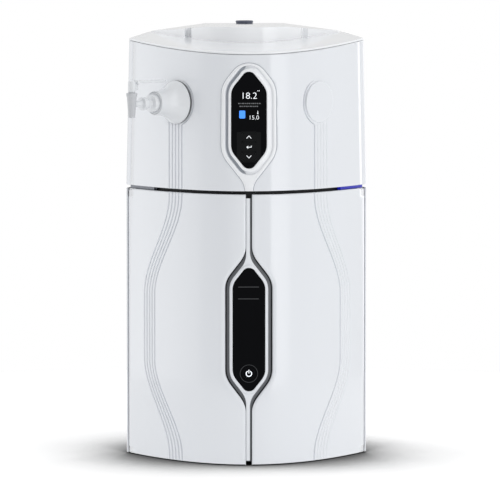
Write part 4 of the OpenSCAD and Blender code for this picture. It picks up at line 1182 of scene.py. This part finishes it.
pack_stations += [(neck_r, neck_high - 0.8), (neck_r - 0.8, neck_high), (0, neck_high)]
for pack in ("left_pack", "right_pack"):
    turned(pack.replace("pack", "cartridge"), [standing(pack)[0]], pack_stations, pack_white,
           pack, pack, 96)

# ---- Vessels and pump ----
# The membrane housing and the final filter are white tubes with ribbed caps,
# and a finned motor turns the pump. The lamp is quartz, the tank and the tubes
# are natural plastic, and the boards are green laminate.


def vessel(name, node, cap_h):
    foot, r, h = standing(node)
    half = [(0, 0), (r - 1.2, 0), (r - 0.3, 0.4), (r, 1.2)]
    for ring in range(3, 3 * int(cap_h / 3), 3):
        half += [(r, ring), (r - 0.9, ring + 0.3), (r - 0.9, ring + 1), (r, ring + 1.3)]
    half += [(r, cap_h - 0.8), (r - 0.8, cap_h), (r - 2, cap_h + 0.2)]
    turned(name, [foot], half + [(x, h - z) for x, z in reversed(half)], pack_white, node)


vessel("membrane_housing", "ro_module", 22)
vessel("final_filter", "ultrafilter", 14)
foot, motor_r, motor_h = standing("pump_motor")
core_r = motor_r - 2.5
motor = [(0, 0), (motor_r - 1, 0), (motor_r, 1), (motor_r, 8), (core_r, 8.4)]
for fin in range(11, 62, 4):
    motor += [(core_r, fin), (motor_r - 0.3, fin + 0.3), (motor_r - 0.3, fin + 1.3),
              (core_r, fin + 1.6)]
motor += [(core_r, 65), (motor_r, 65.4), (motor_r, motor_h - 1), (motor_r - 1, motor_h),
          (0, motor_h)]
turned("finned_motor", [foot], motor, frame_grey, "pump_motor")
dress(finish_material("lamp_glass", (0.80, 0.83, 0.95), 0.05, bump=0.0, Transmission_Weight=0.85,
                      IOR=1.46), "uv_lamp")
dress(finish_material("tank_plastic", (0.50, 0.60, 0.68), 0.38, coat=0.1, grain=700, bump=0.04,
                      mottle=0.05, Transmission_Weight=0.35), "reservoir")
dress(finish_material("tube_white", (0.62, 0.66, 0.70), 0.35, grain=1200, bump=0.03, mottle=0.03),
      "inner_tubes")

board_green = finish_material("circuit_board", (0.012, 0.105, 0.045), 0.35, bump=0.06)
graph = Graph(board_green.node_tree)
tracks = graph.node("TexBrick", {"offset": 0.37}, {
    "Vector": graph.node("TexCoord", output="Object"), "Scale": 60, "Mortar Size": 0.03,
    "Color1": (0.010, 0.10, 0.042, 1), "Color2": (0.014, 0.12, 0.05, 1),
    "Mortar": (0.03, 0.2, 0.09, 1)})
graph.feed(board_green.node_tree.nodes["Principled BSDF"].inputs["Base Color"], tracks)
dress(board_green, "power_board", "main_board", "display_module")

# ---- Rear services ----
# A plain panel on the flat back holds three blue push-in ports for the tubes,
# a mains inlet with three steel contacts, and four screws.

blue_plastic = finish_material("blue_plastic", (0.012, 0.055, 0.26), 0.3, coat=0.2, grain=1300,
                               bump=0.05, mottle=0.05)
panel_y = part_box("service_panel")[1][1]
outward = Matrix.Rotation(-pi / 2, 4, "X")
port = [(4.05, -5), (4.05, 8.2), (4.5, 8.8), (6.3, 9), (6.6, 8.6), (6.8, 7.2), (7.1, 7),
        (8.7, 7), (9.3, 6.6), (9.5, 5.8), (9.5, 1), (9.2, 0.2), (7, 0), (7, -10),
        (4.05, -10), (4.05, -5)]
ports = [lathe(port, Matrix.Translation((x * mm, panel_y, panel_low + 60 * mm)) @ outward, 48)
         for x in (-24, 0, 24)]
contacts = [block((2.1, 14.2, 5.1), 0.4, Matrix.Translation(
    (x * mm, panel_y - 14 * mm, panel_low + (200 + up) * mm)), segments=2)
    for x, up in ((-7, 8.5), (0, 12.5), (7, 8.5))]
finish_piece("inlet_contacts", joined(*contacts), steel)
finish_piece("push_in_ports", joined(*ports), blue_plastic, "tube_ports")
screw = [(0, 0.7), (1.4, 0.7), (1.5, 1.5), (2.2, 1.45), (2.8, 1.0), (3, 0.4), (3, 0), (0, 0)]
screws = [lathe(screw, Matrix.Translation((side * 28 * mm, panel_y, z)) @ outward, 32)
          for side in (-1, 1) for z in (panel_low + 8 * mm, panel_high - 8 * mm)]
finish_piece("panel_screw_heads", joined(*screws), steel, "panel_screws")

# ---- Vent filter ----
# A low screw-in cap on the roof lets filtered air into the tank. It is moulded
# in dark blue plastic, with a shallow dish on top.

foot, vent_r, vent_t = standing("vent_filter")
dark_blue = finish_material("dark_blue_plastic", (0.085, 0.095, 0.135), 0.4, grain=1400,
                            bump=0.06)
turned("vent_cap", [foot], [
    (0, 0), (vent_r - 1, 0), (vent_r - 0.6, 1.4), (vent_r, 1.7), (vent_r, vent_t - 1.1),
    (vent_r - 0.4, vent_t - 0.4), (vent_r - 1.4, vent_t), (9, vent_t), (8.6, vent_t - 0.6),
    (6, vent_t - 0.6), (5.6, vent_t), (0, vent_t)], dark_blue, "vent_filter")
